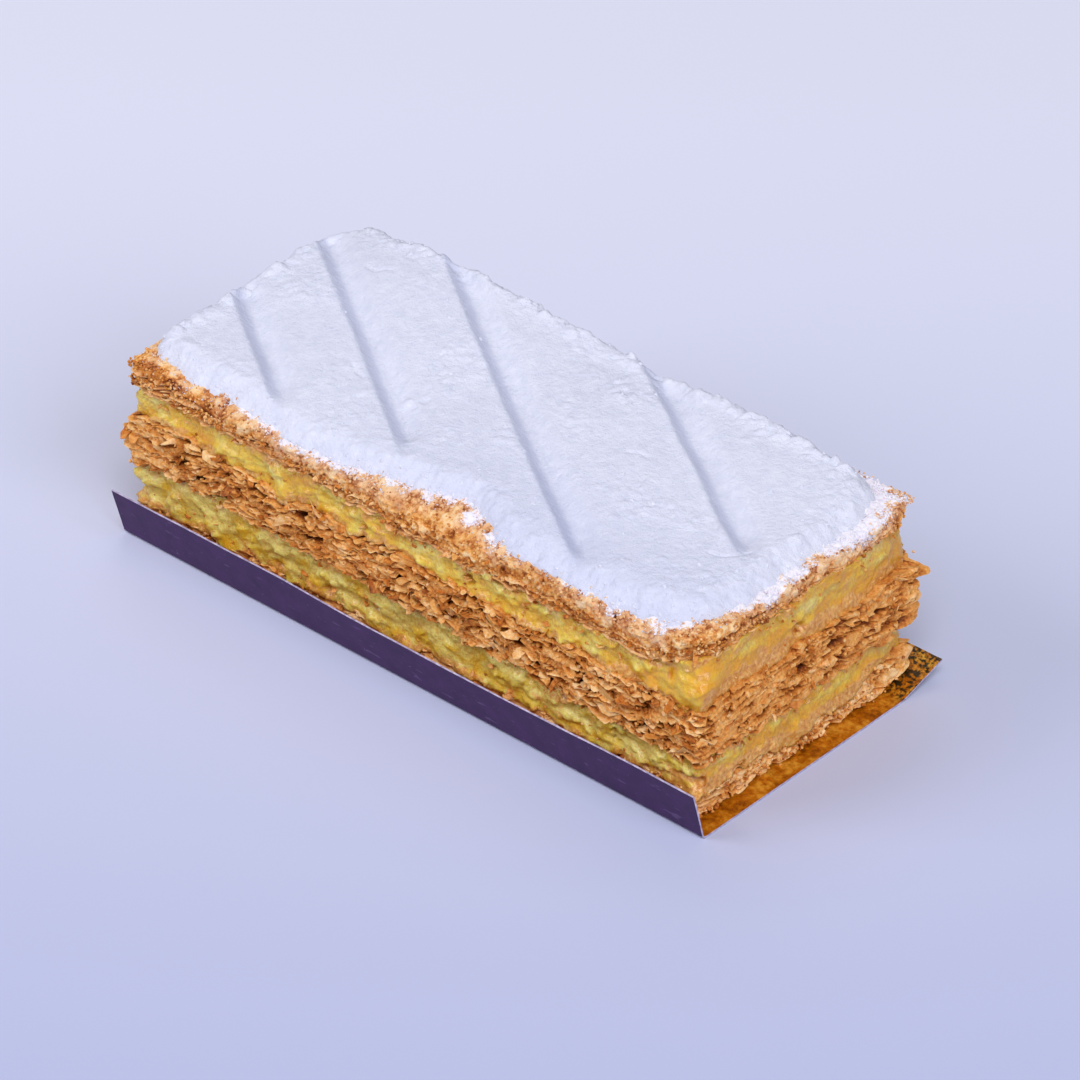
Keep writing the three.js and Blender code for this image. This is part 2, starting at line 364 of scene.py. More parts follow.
class Pile:
    """Vertices, faces and values that are collected and then made into one piece."""

    def __init__(self):
        self.points = []
        self.faces = []
        self.slots = []
        self.values = {}
        self.count = 0

    def add(self, points, face_sets, slot=0, **values):
        """Adds points, faces that count from the first of them, and values of the points."""
        for faces in face_sets:
            self.faces.append(faces + self.count)
            self.slots.append(np.full(len(faces), slot))
        self.points.append(points)
        for name, value in values.items():
            self.values.setdefault(name, []).append(np.broadcast_to(value, len(points)))
        self.count += len(points)

    def piece(self, name, materials, slot, node=None, smooth=False):
        """Makes the piece, and hides the CAD node that it stands for. The slot is not used."""
        corners = np.concatenate([faces.ravel() for faces in self.faces])
        sizes = np.concatenate([np.full(len(faces), faces.shape[1]) for faces in self.faces])
        mesh = bpy.data.meshes.new(name)
        mesh.vertices.add(self.count)
        mesh.vertices.foreach_set("co", (np.concatenate(self.points) * MM).ravel())
        mesh.loops.add(len(corners))
        mesh.loops.foreach_set("vertex_index", corners.astype(np.int32))
        mesh.polygons.add(len(sizes))
        mesh.polygons.foreach_set("loop_start", (np.cumsum(sizes) - sizes).astype(np.int32))
        mesh.polygons.foreach_set("material_index", np.concatenate(self.slots).astype(np.int32))
        mesh.update(calc_edges=True)
        mesh.polygons.foreach_set("use_smooth", np.full(len(sizes), smooth))
        for value_name, parts in self.values.items():
            made = mesh.attributes.new(value_name, "FLOAT", "POINT")
            made.data.foreach_set("value", np.concatenate(parts).astype(np.float32))
        for material in materials:
            mesh.materials.append(material)
        piece = bpy.data.objects.new(name, mesh)
        bpy.context.scene.collection.objects.link(piece)
        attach(piece, "root")
        if node:
            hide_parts(node)


def strip(rows, columns, closed):
    """Four-cornered faces between rows of points. Closed also joins the last row to the first."""
    row, column = np.meshgrid(np.arange(rows if closed else rows - 1), np.arange(columns), indexing="ij")
    here = row * columns
    after = (row + 1) % rows * columns
    beside = (column + 1) % columns
    quads = np.stack([here + column, here + beside, after + beside, after + column], -1)
    return quads.reshape(-1, 4)


def squares(grid):
    """Four-cornered faces from a grid of the numbers of its points."""
    return np.stack([grid[:-1, :-1], grid[:-1, 1:], grid[1:, 1:], grid[1:, :-1]], -1).reshape(-1, 4)


def rim_of(grid):
    """The numbers of the points round the edge of a grid."""
    return np.concatenate([grid[0, :-1], grid[:-1, -1], grid[-1, :0:-1], grid[:0:-1, 0]])


def ring_solid(rings):
    """A closed solid from rings of points: up from the middle below to the middle above."""
    rings = np.array(rings)
    rows, columns = rings.shape[:2]
    middles = np.stack([rings[0].mean(0), rings[-1].mean(0)])
    here = np.arange(columns)
    beside = (here + 1) % columns
    below = np.stack([np.full(columns, rows * columns), beside, here], 1)
    last = (rows - 1) * columns
    above = np.stack([np.full(columns, rows * columns + 1), last + here, last + beside], 1)
    faces = [strip(rows, columns, False), np.concatenate([below, above])]
    return np.concatenate([rings.reshape(-1, 3), middles]), faces


def with_middles(values):
    """Values of the rings' points, followed by those of the two middle points."""
    return np.concatenate([values.ravel(), [values[0].mean(), values[-1].mean()]])


def side_rings(name, shares, depth_of):
    """Rings up the side of a layer. depth_of gives the depth from the places on its face."""
    x, y = face_point(name, 0)
    heights = [height_in(name, x, y, share) for share in shares]
    places = np.concatenate([xyz(x, y, z) for z in heights])
    depth = depth_of(places, np.repeat(shares, COLUMNS)).reshape(len(shares), COLUMNS)
    return [xyz(*face_point(name, inset), z) for inset, z in zip(depth, heights)], depth


# How deep the rings inside a layer lie: the deepest nearly reach its middle.
DEEPEST = 26.6
INNER_DEPTHS = (16, 5)


def closing_rings(name, above, lift, deepest=DEEPEST):
    """Rings that close a layer below (0), from its middle outwards, or above (1), inwards."""
    rings = []
    for depth in (deepest, *INNER_DEPTHS):
        x, y = face_point(name, depth)
        rings.append(xyz(x, y, LEVELS[ORDER.index(name) + above](x, y) + lift))
    return rings[::-1] if above else rings


# ---------------------------------------------------------------- puff pastry

NO_DUST = -0.5
# The tone of the faces hidden between the layers: a dark, painted shade.
INNER_PAINTED_SHADE = 0.3
CRACK_DEPTH, HOLLOW_DEPTH, NOTCH_DEPTH = 1.9, 2.6, 1.8
# Section of a leaf: depth behind its tip, share of its thickness, and share of its curl.
LEAF_SECTION = ((3.0, -0.5, 0.0), (0.4, -0.45, 0.75), (0.0, 0.0, 1.0),
                (0.25, 0.42, 0.85), (1.1, 0.5, 0.35), (3.0, 0.5, 0.0))
# Spots of painted light, where leaves are paler: x, y and reach.
PAINTED_LIGHT_SPOTS = ((HALF_LENGTH, -HALF_WIDTH, 24), (-24, -HALF_WIDTH, 26))


def crumble(places, seed):
    """How far rough baked dough stands out: torn lumps, finer grit, and long level cracks."""
    places = places + UP * (1.3 * fbm(places, (9.0, 9.0, 6.0), seed + 44, 2))[:, None]
    lumps, number = domes(places, (2.8, 2.8, 0.75), seed)
    grit, _ = domes(places, (0.9, 0.9, 0.45), seed + 20)
    level = noise(places / (8.0, 8.0, 1.6), seed + 40) + 0.3 * noise(places / (1.6, 1.6, 1.2), seed + 41)
    crack = step_up(0.2 - np.abs(level), 0.0, 0.12) * step_up(noise(places / 5.0, seed + 42), -0.35, 0.1)
    rough = 0.7 * lumps * (0.1 + number) + 0.22 * grit
    return rough + 0.5 * fbm(places, (4.0, 4.0, 1.8), seed + 43) - CRACK_DEPTH * crack


def hollows(places, name):
    """Where a pastry layer is torn open between its leaves (1)."""
    return step_up(fbm(places, (4.5, 4.5, 1.7), 130 + ORDER.index(name), 2), 0.22, 0.42)


def add_body(pile, name, rows, recess, seed):
    """The closed crumbly dough that a pastry layer's leaves stand out from."""
    def depth_of(places, _):
        hollow = hollows(places, name) * np.tile(by_side(1.9, 1.2, 1.9, 1.9), rows)
        rough = np.tile(by_side(1.0, 0.6, 1.0, 1.0), rows)
        return np.tile(recess, rows) - rough * crumble(places, seed) + hollow

    rings, depth = side_rings(name, np.linspace(0, 1, rows), depth_of)
    points, faces = ring_solid(closing_rings(name, 0, 0.15) + rings + closing_rings(name, 1, -0.15))
    # Painted shade: the tone falls with depth, so cracks and hollows are darker. The bottom layer is paler,
    # partly its own pale bake, partly painted light where the tray's flap shades its front.
    paler_with_painted_light = 0.14 * (name == BOTTOM) * (1 + RIGHT)
    inner = np.full((3, COLUMNS), INNER_PAINTED_SHADE)
    tone = np.concatenate([inner, 0.74 + paler_with_painted_light - 0.42 * depth, inner])
    pile.add(points, faces, tone=with_middles(tone), dust=NO_DUST)


def leaf_look(shade, **sides):
    """How leaves look, each property given for the front, right, back and left."""
    return {"shade": shade, **{key: by_side(*four) for key, four in sides.items()}}


def add_leaf(pile, name, share, look, seed, dust=NO_DUST):
    """One thin leaf of pastry that runs round the whole layer, with a torn edge."""
    x, y = face_point(name, 0)
    flat = xyz(x, y, 13.0 * seed)
    wave = fbm(flat, 11.0, seed, 2) + look["wavy"] * noise(flat / 3.6, seed + 1)
    z = height_in(name, x, y, share) + look["drift"] * wave
    jitter = np.random.default_rng(seed).uniform(-1, 1, COLUMNS)
    torn = 0.75 * fbm(flat, 9.0, seed + 2, 2) + 0.85 * fbm(flat, 3.2, seed + 3, 2) + 0.08 * jitter
    notch = step_up(noise(flat / 4.2, seed + 4), look["gone"], look["gone"] + 0.35)
    reach = look["out"] + look["torn"] * torn - NOTCH_DEPTH * notch
    reach -= HOLLOW_DEPTH * hollows(xyz(x, y, z), name)
    thick = look["thick"] * (1 + 0.6 * noise(flat / 1.3, seed + 5))
    curl = look["curl"] * (fbm(flat, 3.8, seed + 6, 2) - 0.15)
    shade = look["shade"] + 0.16 * noise(flat / 6.0, seed + 7) + 0.08 * math.sin(1.7 * seed)
    rings = []
    tones = []
    for depth, side, bend in LEAF_SECTION:
        x, y = face_point(name, depth - reach)
        rings.append(xyz(x, y, z + side * thick + bend * curl))
        # Painted light and shade: paler in the spots and where a leaf sticks out, darker towards its root.
        # The paler tip is partly the torn edge's own colour, partly painted light.
        paler_with_painted_light = sum(0.07 * bell(x, y, *spot) for spot in PAINTED_LIGHT_SPOTS)
        tones.append(shade + 0.14 * bend - 0.05 * depth + 0.05 * reach + paler_with_painted_light)
    faces = strip(len(LEAF_SECTION), COLUMNS, True)
    pile.add(np.concatenate(rings), [faces], tone=np.concatenate(tones), dust=dust)


def pastry_layers():
    """The bottom and middle layers of puff pastry."""
    look = leaf_look(
        0.56, torn=(0.95, 0.32, 0.95, 1.15), out=(0.0, -0.35, 0.0, 0.05), gone=(-0.1,) * 4,
        thick=(0.22,) * 4, drift=(0.95, 0.5, 0.9, 1.0), wavy=(0.6, 0.45, 0.6, 0.9),
        curl=(0.6, 0.2, 0.5, 0.8),
    )
    leaves = Pile()
    for k in range(10):
        share = (k + 0.8) / 10.3
        # One leaf sticks out like a beak at the back corner of the right end.
        beak = 1.5 * near_corner(1, 6) * math.exp(-((share - 0.93) / 0.1) ** 2)
        add_leaf(leaves, MIDDLE, share, {**look, "out": look["out"] + beak}, 200 + 10 * k)
    leaves.piece("middle_leaves", [PASTRY], "pastry", MIDDLE)
    dough = Pile()
    add_body(dough, MIDDLE, 34, by_side(0.8, 0.6, 0.8, 0.8), 101)
    dough.piece("middle_dough", [PASTRY], "pastry")

    bottom = Pile()
    add_body(bottom, BOTTOM, 20, by_side(0.6, 0.7, 0.8, 0.7), 111)
    # The bottom's leaves are paler, partly painted light where the tray's flap shades them.
    look["shade"] = 0.62
    for key, less in (("torn", 0.8), ("drift", 0.6), ("curl", 0.7)):
        look[key] = look[key] * less
    for k in range(6):
        add_leaf(bottom, BOTTOM, (k + 0.6) / 6, look, 400 + 10 * k)
    bottom.piece("bottom_leaves", [PASTRY], "pastry", BOTTOM)


# ---------------------------------------------------------------- crumbs and flakes

GOLDEN = (1 + 5 ** 0.5) / 2
LUMP = (np.array([(-1, GOLDEN, 0), (1, GOLDEN, 0), (-1, -GOLDEN, 0), (1, -GOLDEN, 0),
                  (0, -1, GOLDEN), (0, 1, GOLDEN), (0, -1, -GOLDEN), (0, 1, -GOLDEN),
                  (GOLDEN, 0, -1), (GOLDEN, 0, 1), (-GOLDEN, 0, -1), (-GOLDEN, 0, 1)]) / 1.9,
        np.array([(0, 11, 5), (0, 5, 1), (0, 1, 7), (0, 7, 10), (0, 10, 11), (1, 5, 9), (5, 11, 4),
                  (11, 10, 2), (10, 7, 6), (7, 1, 8), (3, 9, 4), (3, 4, 2), (3, 2, 6), (3, 6, 8),
                  (3, 8, 9), (4, 9, 5), (2, 4, 11), (6, 2, 10), (8, 6, 7), (9, 8, 1)]))
GRAIN = (np.array([(1, 0, 0), (0, 1, 0), (-1, 0, 0), (0, -1, 0), (0, 0, 1), (0, 0, -1)], float),
         np.array([(0, 1, 4), (1, 2, 4), (2, 3, 4), (3, 0, 4), (1, 0, 5), (2, 1, 5), (3, 2, 5), (0, 3, 5)]))


def stuck_on(name, count, weights, low, high, rng):
    """Random places on the side of a layer: the columns, shares of its height, and points."""
    column = rng.choice(COLUMNS, count, p=weights / weights.sum())
    share = rng.uniform(low, high, count)
    x, y = (values[column] for values in face_point(name, 0))
    return column, share, xyz(x, y, height_in(name, x, y, share))


def move_out(centres, column, out):
    """Moves places on a layer's side outwards."""
    centres[:, :2] += OUTWARD[column] * out[:, None]


def add_copies(pile, points, faces, **values):
    """Adds many solids with the same faces: points has one row of corners for each."""
    count, corners = points.shape[:2]
    every = faces + corners * np.arange(count)[:, None, None]
    repeated = {name: np.repeat(np.broadcast_to(value, count), corners) for name, value in values.items()}
    pile.add(points.reshape(-1, 3), [every.reshape(-1, faces.shape[1])], **repeated)


def add_crumbs(pile, centres, radius, kind, rng, **values):
    """Small uneven lumps, each its own closed solid."""
    shape, faces = kind
    count = len(centres)
    turns = np.linalg.qr(rng.normal(size=(count, 3, 3)))[0]
    turns *= np.sign(np.linalg.det(turns))[:, None, None]
    stretch = rng.uniform(0.6, 1.25, (count, 1, 3))
    uneven = 1 + rng.uniform(-0.28, 0.28, (count, len(shape), 1))
    local = shape * stretch * uneven * radius[:, None, None]
    add_copies(pile, centres[:, None] + np.einsum("nki,nij->nkj", local, turns), faces, **values)


def tilted(first, second, angle):
    """Two directions across each other, turned together by an angle."""
    cos = np.cos(angle)[:, None]
    sin = np.sin(angle)[:, None]
    return first * cos + second * sin, second * cos - first * sin


def flake_frames(column, spreads, rng):
    """Frames for flakes: along the side, outward and up, each turned by a random bit."""
    count = len(column)
    yaw, pitch, roll = (rng.normal(0, spread, count) for spread in spreads)
    x, y = OUTWARD[column].T
    outward = xyz(x * np.cos(yaw) - y * np.sin(yaw), x * np.sin(yaw) + y * np.cos(yaw), 0.0)
    along = xyz(outward[:, 1], -outward[:, 0], 0.0)
    outward, up = tilted(outward, UP, pitch)
    along, up = tilted(along, up, roll)
    return np.stack([along, outward, up], 1)


def flake_faces(long, wide):
    """Faces of a thin closed sheet: a grid of points above, the same below, and the rim between."""
    grid = np.arange(long * wide).reshape(wide, long)
    top = squares(grid)
    rim = rim_of(grid)
    after = np.roll(rim, -1)
    below = long * wide
    sides = np.stack([rim + below, after + below, after, rim], 1)
    return np.concatenate([top, top[:, ::-1] + below, sides])


def add_flakes(pile, centres, frames, size, thick, shape, rng, **values):
    """Small curved leaves, torn off round their edges, each a closed thin solid."""
    count = len(centres)
    long, wide = shape
    points = long * wide
    across = np.array([(i, j) for j in np.linspace(-1, 1, wide) for i in np.linspace(-1, 1, long)])
    # Corners are drawn in, so that a sheet isn't square.
    across = across * (1 - 0.26 * (across ** 2).prod(1, keepdims=True))
    spread = across * (1 + rng.uniform(-0.22, 0.14, (count, points, 1)))
    spread += rng.uniform(-0.2, 0.2, (count, points, 2)) / (long - 1, wide - 1)
    i, j = spread[:, :, 0], spread[:, :, 1]
    bend = rng.normal(0, 0.3, (count, 3)) * size[:, :1]
    arch = bend[:, :1] * i ** 2 + bend[:, 1:2] * j ** 2 + bend[:, 2:] * i * j
    arch += rng.normal(0, 0.14, (count, points)) * size[:, :1] / long * 2
    rim = np.where(np.abs(across).max(1) > 0.8, 0.6, 1.0)
    local = np.zeros((count, 2 * points, 3))
    for side, start in ((0.5, 0), (-0.5, points)):
        local[:, start:start + points, :2] = spread * size[:, None, :]
        local[:, start:start + points, 2] = arch + side * thick[:, None] * rim
    placed = centres[:, None] + np.einsum("nki,nij->nkj", local, frames)
    add_copies(pile, placed, flake_faces(long, wide), **values)


# ---------------------------------------------------------------- the top crust

crust_level = LEVELS[-1]
# Depths of the rings over the top layer: close together on its bare margin, and three under the sugar.
MARGIN_RINGS = np.arange(0.4, 8.0, 0.4)
COVERED_RINGS = (12, 20, DEEPEST)


def crust_relief(places):
    """How far the sandy crust stands out, in millimetres, and which crumb a place belongs to."""
    crumbs, number = domes(places, (1.25, 1.25, 1.0), 500)
    grit, _ = domes(places, 0.8, 520)
    return 0.6 * crumbs * (0.3 + 0.5 * number) + 0.4 * grit + 0.4 * fbm(places, 3.0, 540), number


def crust_gaps(side, share):
    """Where the top layer gapes between its leaves (1)."""
    gaps = np.zeros(len(side))
    for at_x, at_y, reach, height, amount in CRUST_GAPS:
        level = np.exp(-((share - height - 0.1 * noise(side / 5.0, 515)) / 0.09) ** 2)
        gaps = np.maximum(gaps, amount * level * bell(side[:, 0], side[:, 1], at_x, at_y, reach))
    return gaps


def crust_side(leafy):
    """Rings up the side of the top layer, their tones, and the depth of the last ring."""
    rows = 14
    shares = np.linspace(0, 1, rows)
    x, y = face_point(TOP, 0)
    low = boundary(ORDER.index(TOP), x, y)
    heights = low + (crust_level(x, y) - low) * shares[:, None]
    side = xyz(np.tile(x, rows), np.tile(y, rows), heights.ravel())
    share = np.repeat(shares, COLUMNS)
    leafy = np.tile(leafy, rows)
    relief, number = crust_relief(side)
    ledge = step_up(fbm(side, (9.0, 9.0, 2.5), 510, 2), 0.0, 0.35) * np.exp(-((share - 0.3) / 0.1) ** 2)
    gaps = crust_gaps(side, share)
    flatter = 1 - 0.65 * leafy
    depth = 0.7 + np.tile(by_side(1.3, 0.9, 1.3, 1.3), rows) * ledge + 1.5 * gaps
    depth -= flatter * relief * (0.45 + 0.6 * step_up(share, 0.1, 0.45)) - 0.5 * (1 - flatter)
    depth += 0.45 * step_up(share, 0.85, 1.0)
    # Painted shade: the tone follows the relief, darker between crumbs, and falls in ledges, in gaps
    # between leaves and among the leaves at the left of the front.
    tone = 0.56 + 0.85 * (relief - 0.42) + 0.25 * (number - 0.5)
    tone -= 0.4 * ledge + 0.5 * gaps + 0.3 * leafy
    depth, relief, tone = (values.reshape(rows, COLUMNS) for values in (depth, relief, tone))
    rings = [xyz(*face_point(TOP, inset), z + 0.3 * rise) for inset, z, rise in zip(depth, heights, relief)]
    return rings, list(tone), depth[-1]


def crust_margin(edge):
    """Rings over the upper side of the top layer, from its rim inwards, and their tones."""
    rings = []
    tones = []
    for inset in [*(MARGIN_RINGS[:, None] + edge), *COVERED_RINGS]:
        x, y = face_point(TOP, inset)
        place = xyz(x, y, crust_level(x, y))
        relief, number = crust_relief(place)
        sunk = 1.2 * step_up(sugar_inside(x, y), 1.5, 4.5)
        rings.append(place + UP * (0.75 * relief - 0.2 - sunk)[:, None])
        # Painted shade: darker between the crumbs, paler on their tops.
        tones.append(0.5 + 0.9 * (relief - 0.42) + 0.3 * (number - 0.5))
    return rings, tones


def top_crust():
    """The top layer: leaves low down, and crumbly crust above and on its upper margin."""
    leafy = step_up(-face_point(TOP, 0)[0], 36, 48) * FRONT
    side, side_tones, edge = crust_side(leafy)
    margin, margin_tones = crust_margin(edge)
    rings = np.array(closing_rings(TOP, 0, 0.25) + side + margin)
    tone = np.array([np.full(COLUMNS, INNER_PAINTED_SHADE)] * 3 + side_tones + margin_tones)
    dust = sugar_dust(rings.reshape(-1, 3)).reshape(tone.shape)
    pile = Pile()
    points, faces = ring_solid(rings)
    pile.add(points, faces, tone=with_middles(tone), dust=with_middles(dust))
    look = leaf_look(
        0.55, torn=(0.75, 0.35, 0.75, 0.9), out=(-0.15,) * 4, gone=(0.1, 0.05, 0.1, 0.1),
        thick=(0.34, 0.4, 0.34, 0.34), drift=(0.3, 0.22, 0.3, 0.4), wavy=(0.6, 0.4, 0.6, 0.8),
        curl=(0.45, 0.2, 0.45, 0.6),
    )
    for k, share in enumerate((0.03, 0.13, 0.24, 0.38)):
        add_leaf(pile, TOP, share, look, 600 + 10 * k, -0.1)
    # Higher leaves come out of the crust only at the left of the front.
    look["out"] = look["out"] + 1.5 * leafy - 1.3
    for k, share in enumerate((0.52, 0.68)):
        add_leaf(pile, TOP, share, look, 660 + 10 * k, 0.0)
    pile.piece("top_crust", [PASTRY], "pastry", TOP)


def sugar_dust(points):
    """How much sugar has fallen on a place of the crust: most close under the coat's edge."""
    x, y, z = points.T
    below = crust_level(x, y) - z
    dust = 0.48 + 0.16 * sugar_inside(x, y) - 0.22 * below + 0.5 * fbm(points, 3.2, 700, 3)
    at_back = step_up(y, HALF_WIDTH - 4.0, HALF_WIDTH - 1.0)
    at_left = step_up(-x, HALF_LENGTH - 3.0, HALF_LENGTH - 1.0)
    dust += 0.6 * np.maximum(at_back, at_left) * (1 - step_up(below, 0.4, 2.4)) * step_up(y, -16, -8)
    for at_x, at_y, reach, amount in DUSTY:
        dust += amount * bell(x, y, at_x, at_y, reach)
    return dust


# ---------------------------------------------------------------- custard

CREAM_ROWS = 22
CALM = by_side(1.0, 0.5, 1.0, 1.1)
# How far the drip hangs down in the lowest rings.
DRIP_FALLS = (2.4, 2.1, 1.7, 1.2, 0.7)
CREAM_DEEPEST = 26.4


def up_rows(values):
    """Values of the columns, repeated for every row of the custard's side."""
    return np.tile(values, CREAM_ROWS)


def gritty(places, seed):
    """Where crumbs are worked into the custard (1), and where it is smeared smooth (0)."""
    return step_up(fbm(places, (6.0, 6.0, 2.4), seed + 7), -0.25, 0.3)


def drip_at(name):
    """Where the upper custard runs down over the pastry, at the front corner of the right end."""
    return bell(U * HALF_LENGTH, V * HALF_WIDTH, HALF_LENGTH - 1, -HALF_WIDTH, 2.2) * (name == UPPER)


def cream_depth(name, seed):
    """A function for the depth of the custard's side: lumps, grains, holes and its two corners."""
    drip = up_rows(1.3 * drip_at(name))
    bulge = up_rows(1.1 * near_corner(-1, 5) * (name == UPPER))
    drawn_in = up_rows(1.5 * near_corner(1, 7))

    def depth_of(places, share):
        swell = 0.9 * fbm(places, 5.0, seed) + 0.3 * fbm(places, (2.6, 2.6, 1.4), seed + 1)
        lumps, number = domes(places, 1.5, seed + 8)
        grit, _ = domes(places, 0.7, seed + 9)
        grain = (0.7 * lumps * number ** 2 + 0.32 * grit) * gritty(places, seed)
        grain += 0.1 * fbm(places, 0.9, seed + 2, 2)
        near, chosen = scattered(places, (6.0, 6.0, 3.5), seed + 3)
        hole = 1.3 * step_up(0.3 - near, 0.0, 0.18) * (chosen < 0.4)
        depth = 0.5 * (share - 0.4) - up_rows(CALM) * (swell + grain) + hole
        bulging = bulge * np.sin(np.pi * np.clip(share, 0, 1))
        return depth + drawn_in - drip * (share < 0.5) - bulging

    return depth_of


def cream_tones(name, seed, side, share):
    """How deep yellow the custard's side is, and how much baked crumb lies in it."""
    corner = near_corner(-1, 14)
    # The lower custard's front is paler: painted light where the middle layer and the tray's flap shade it.
    # The upper one's front is a deeper yellow.
    pale, richer = (0.17, 0.05) if name == LOWER else (-0.16, 0.35)
    at_end = up_rows(RIGHT)
    back_corner = up_rows(near_corner(1, 9))
    slanting = xyz(side[:, 0], side[:, 1] + 1.6 * side[:, 2], side[:, 2])
    streaks = fbm(slanting, (8.0, 8.0, 1.5), seed + 11)
    smears = step_up(fbm(slanting, (5.0, 5.0, 1.2), seed + 12), 0.1, 0.4) * (1.3 - share)

    deep = up_rows(by_side(0.2 - pale, 0.82, 0.25, 0.4) + richer * corner)
    deep += 0.5 * fbm(side, 6.0, seed + 5) + 0.35 * fbm(side, (3.0, 3.0, 1.6), seed + 10, 2)
    deep += 0.2 * step_up(0.5 - share, 0.0, 0.4)
    deep += at_end * (0.5 * streaks - 0.3 * step_up(share, 0.35, 0.75) - 0.4 * back_corner)

    baked = 0.5 * np.abs(2 * share - 1) ** 1.5 + 0.35 * gritty(side, seed) - 0.3
    baked += 0.22 * step_up(0.3 - share, 0.0, 0.3) * up_rows(by_side(1, 0.3, 1, 1))
    baked += 0.7 * fbm(side, (3.5, 3.5, 2.0), seed + 6)
    if name == LOWER:
        baked += 0.9 * up_rows(corner ** 4) * step_up(0.75 - share, 0.0, 0.4)
    baked += at_end * (0.3 * smears + 0.7 * step_up(0.52 - share, 0.0, 0.3) - 0.6 * back_corner)
    return deep, baked


def add_cream(name, piece_name, seed):
    """A layer of custard: smeared and grainy, with holes, and drawn in at the back right corner."""
    shares = np.linspace(-0.06, 1.06, CREAM_ROWS)
    rings, depth = side_rings(name, shares, cream_depth(name, seed))
    for k, fall in enumerate(DRIP_FALLS):
        rings[k] = rings[k] - UP * (drip_at(name) * fall)[:, None]
    below, above = (closing_rings(name, upper, 0.0, CREAM_DEEPEST) for upper in (0, 1))
    points, faces = ring_solid(below + rings + above)
    side = np.concatenate(rings)
    deep, baked = cream_tones(name, seed, side, np.repeat(shares, COLUMNS))
    # How far the side stands out, which the material uses for painted shade in the custard's hollows.
    relief = -depth.ravel() / up_rows(CALM) - 0.9 * fbm(side, 5.0, seed)
    inner = np.zeros(3 * COLUMNS)
    values = {key: np.concatenate([inner, value, inner, [0, 0]])
              for key, value in (("deep", deep), ("baked", baked), ("relief", relief))}
    pile = Pile()
    pile.add(points, faces, **values)
    pile.piece(piece_name, [CUSTARD], "custard", name, smooth=True)


# ---------------------------------------------------------------- icing sugar

SUGAR_CORNER = 4


def sugar_inside(x, y):
    """How far a place lies inside the sugar's ragged edge, in millimetres."""
    left, right, front, back = FACES[TOP]
    margin_left = 0.1 + 0.8 * bell(0, y, 0, front, 6)
    margin_right = 2.6 + 1.2 * bell(0, y, 0, -25, 8) + 3.6 * bell(0, y, 0, 27, 8)
    margin_front = np.interp(x, MARGIN_AT, MARGIN) - 0.6
    margin_back = 0.4 + 2.4 * step_up(x, 36, 54)
    inside_x = np.minimum(x - left - margin_left, right - margin_right - x)
    inside_y = np.minimum(y - front - margin_front, back - margin_back - y)
    inside_y = np.minimum(inside_y, -0.4 - corner_cut(x, y))
    # A rounded corner where both are small.
    both = np.hypot(np.maximum(SUGAR_CORNER - inside_x, 0), np.maximum(SUGAR_CORNER - inside_y, 0))
    place = xyz(x, y, 0.0)
    ragged = 0.9 * fbm(place, 4.5, 720, 3) + 0.35 * noise(place / 0.9, 721)
    return np.where(both > 0, SUGAR_CORNER - both, np.minimum(inside_x, inside_y)) + ragged


def groove_press(x, y):
    """How deep the grooves are pressed at a place, how smooth it is beside them, and where painted shade
    lies along their walls.
    """
    pressed, smooth, groove_shade = np.zeros((3, len(x)))
    place = xyz(x, y, 0.0)
    length = math.hypot(1, GROOVE_SLOPE)
    for k, (crossing, start, stop) in enumerate(GROOVES):
        beside = (y - crossing + GROOVE_SLOPE * x) / length - 0.9 + 0.2 * noise(place / 16.0, 730 + k)
        fade = 1 - step_up(x, stop - GROOVE_RUN_OUT, stop + 1.0)
        fade *= step_up(x, start - 1.0, start + GROOVE_RUN_OUT)
        share = np.clip((beside + GROOVE_WALL - 0.4) / GROOVE_WALL, 0, 1)
        wall = 1 - (1 - share) ** 1.25
        slope = 1 - step_up(beside, 0.3, 4.5)
        broad = 0.35 * wall * (1 - step_up(beside, 1.0, 11.0))
        pressed = np.maximum(pressed, fade * (GROOVE_DEPTH * wall * slope + broad * (1 - slope)))
        bank = 0.3 * np.exp(-(beside + 2.4) ** 2)
        pressed = pressed - fade * bank * (0.5 + 0.5 * noise(place / 5.0, 740 + k))
        smooth = np.maximum(smooth, fade * wall * (1 - step_up(beside, 4.0, 9.5)))
        # A band of painted shade along the groove's wall.
        groove_shade = np.maximum(groove_shade, fade * np.exp(-((beside + 0.9) / 1.3) ** 4))
    return pressed, smooth, groove_shade


def crack_distance(x, y):
    """How far a place is from the nearest hairline crack."""
    gap = np.full(len(x), FAR)
    for points in CRACKS:
        for (ax, ay), (bx, by) in zip(points, points[1:]):
            along = (x - ax) * (bx - ax) + (y - ay) * (by - ay)
            share = np.clip(along / ((bx - ax) ** 2 + (by - ay) ** 2), 0, 1)
            gap = np.minimum(gap, np.hypot(x - ax - share * (bx - ax), y - ay - share * (by - ay)))
    return gap


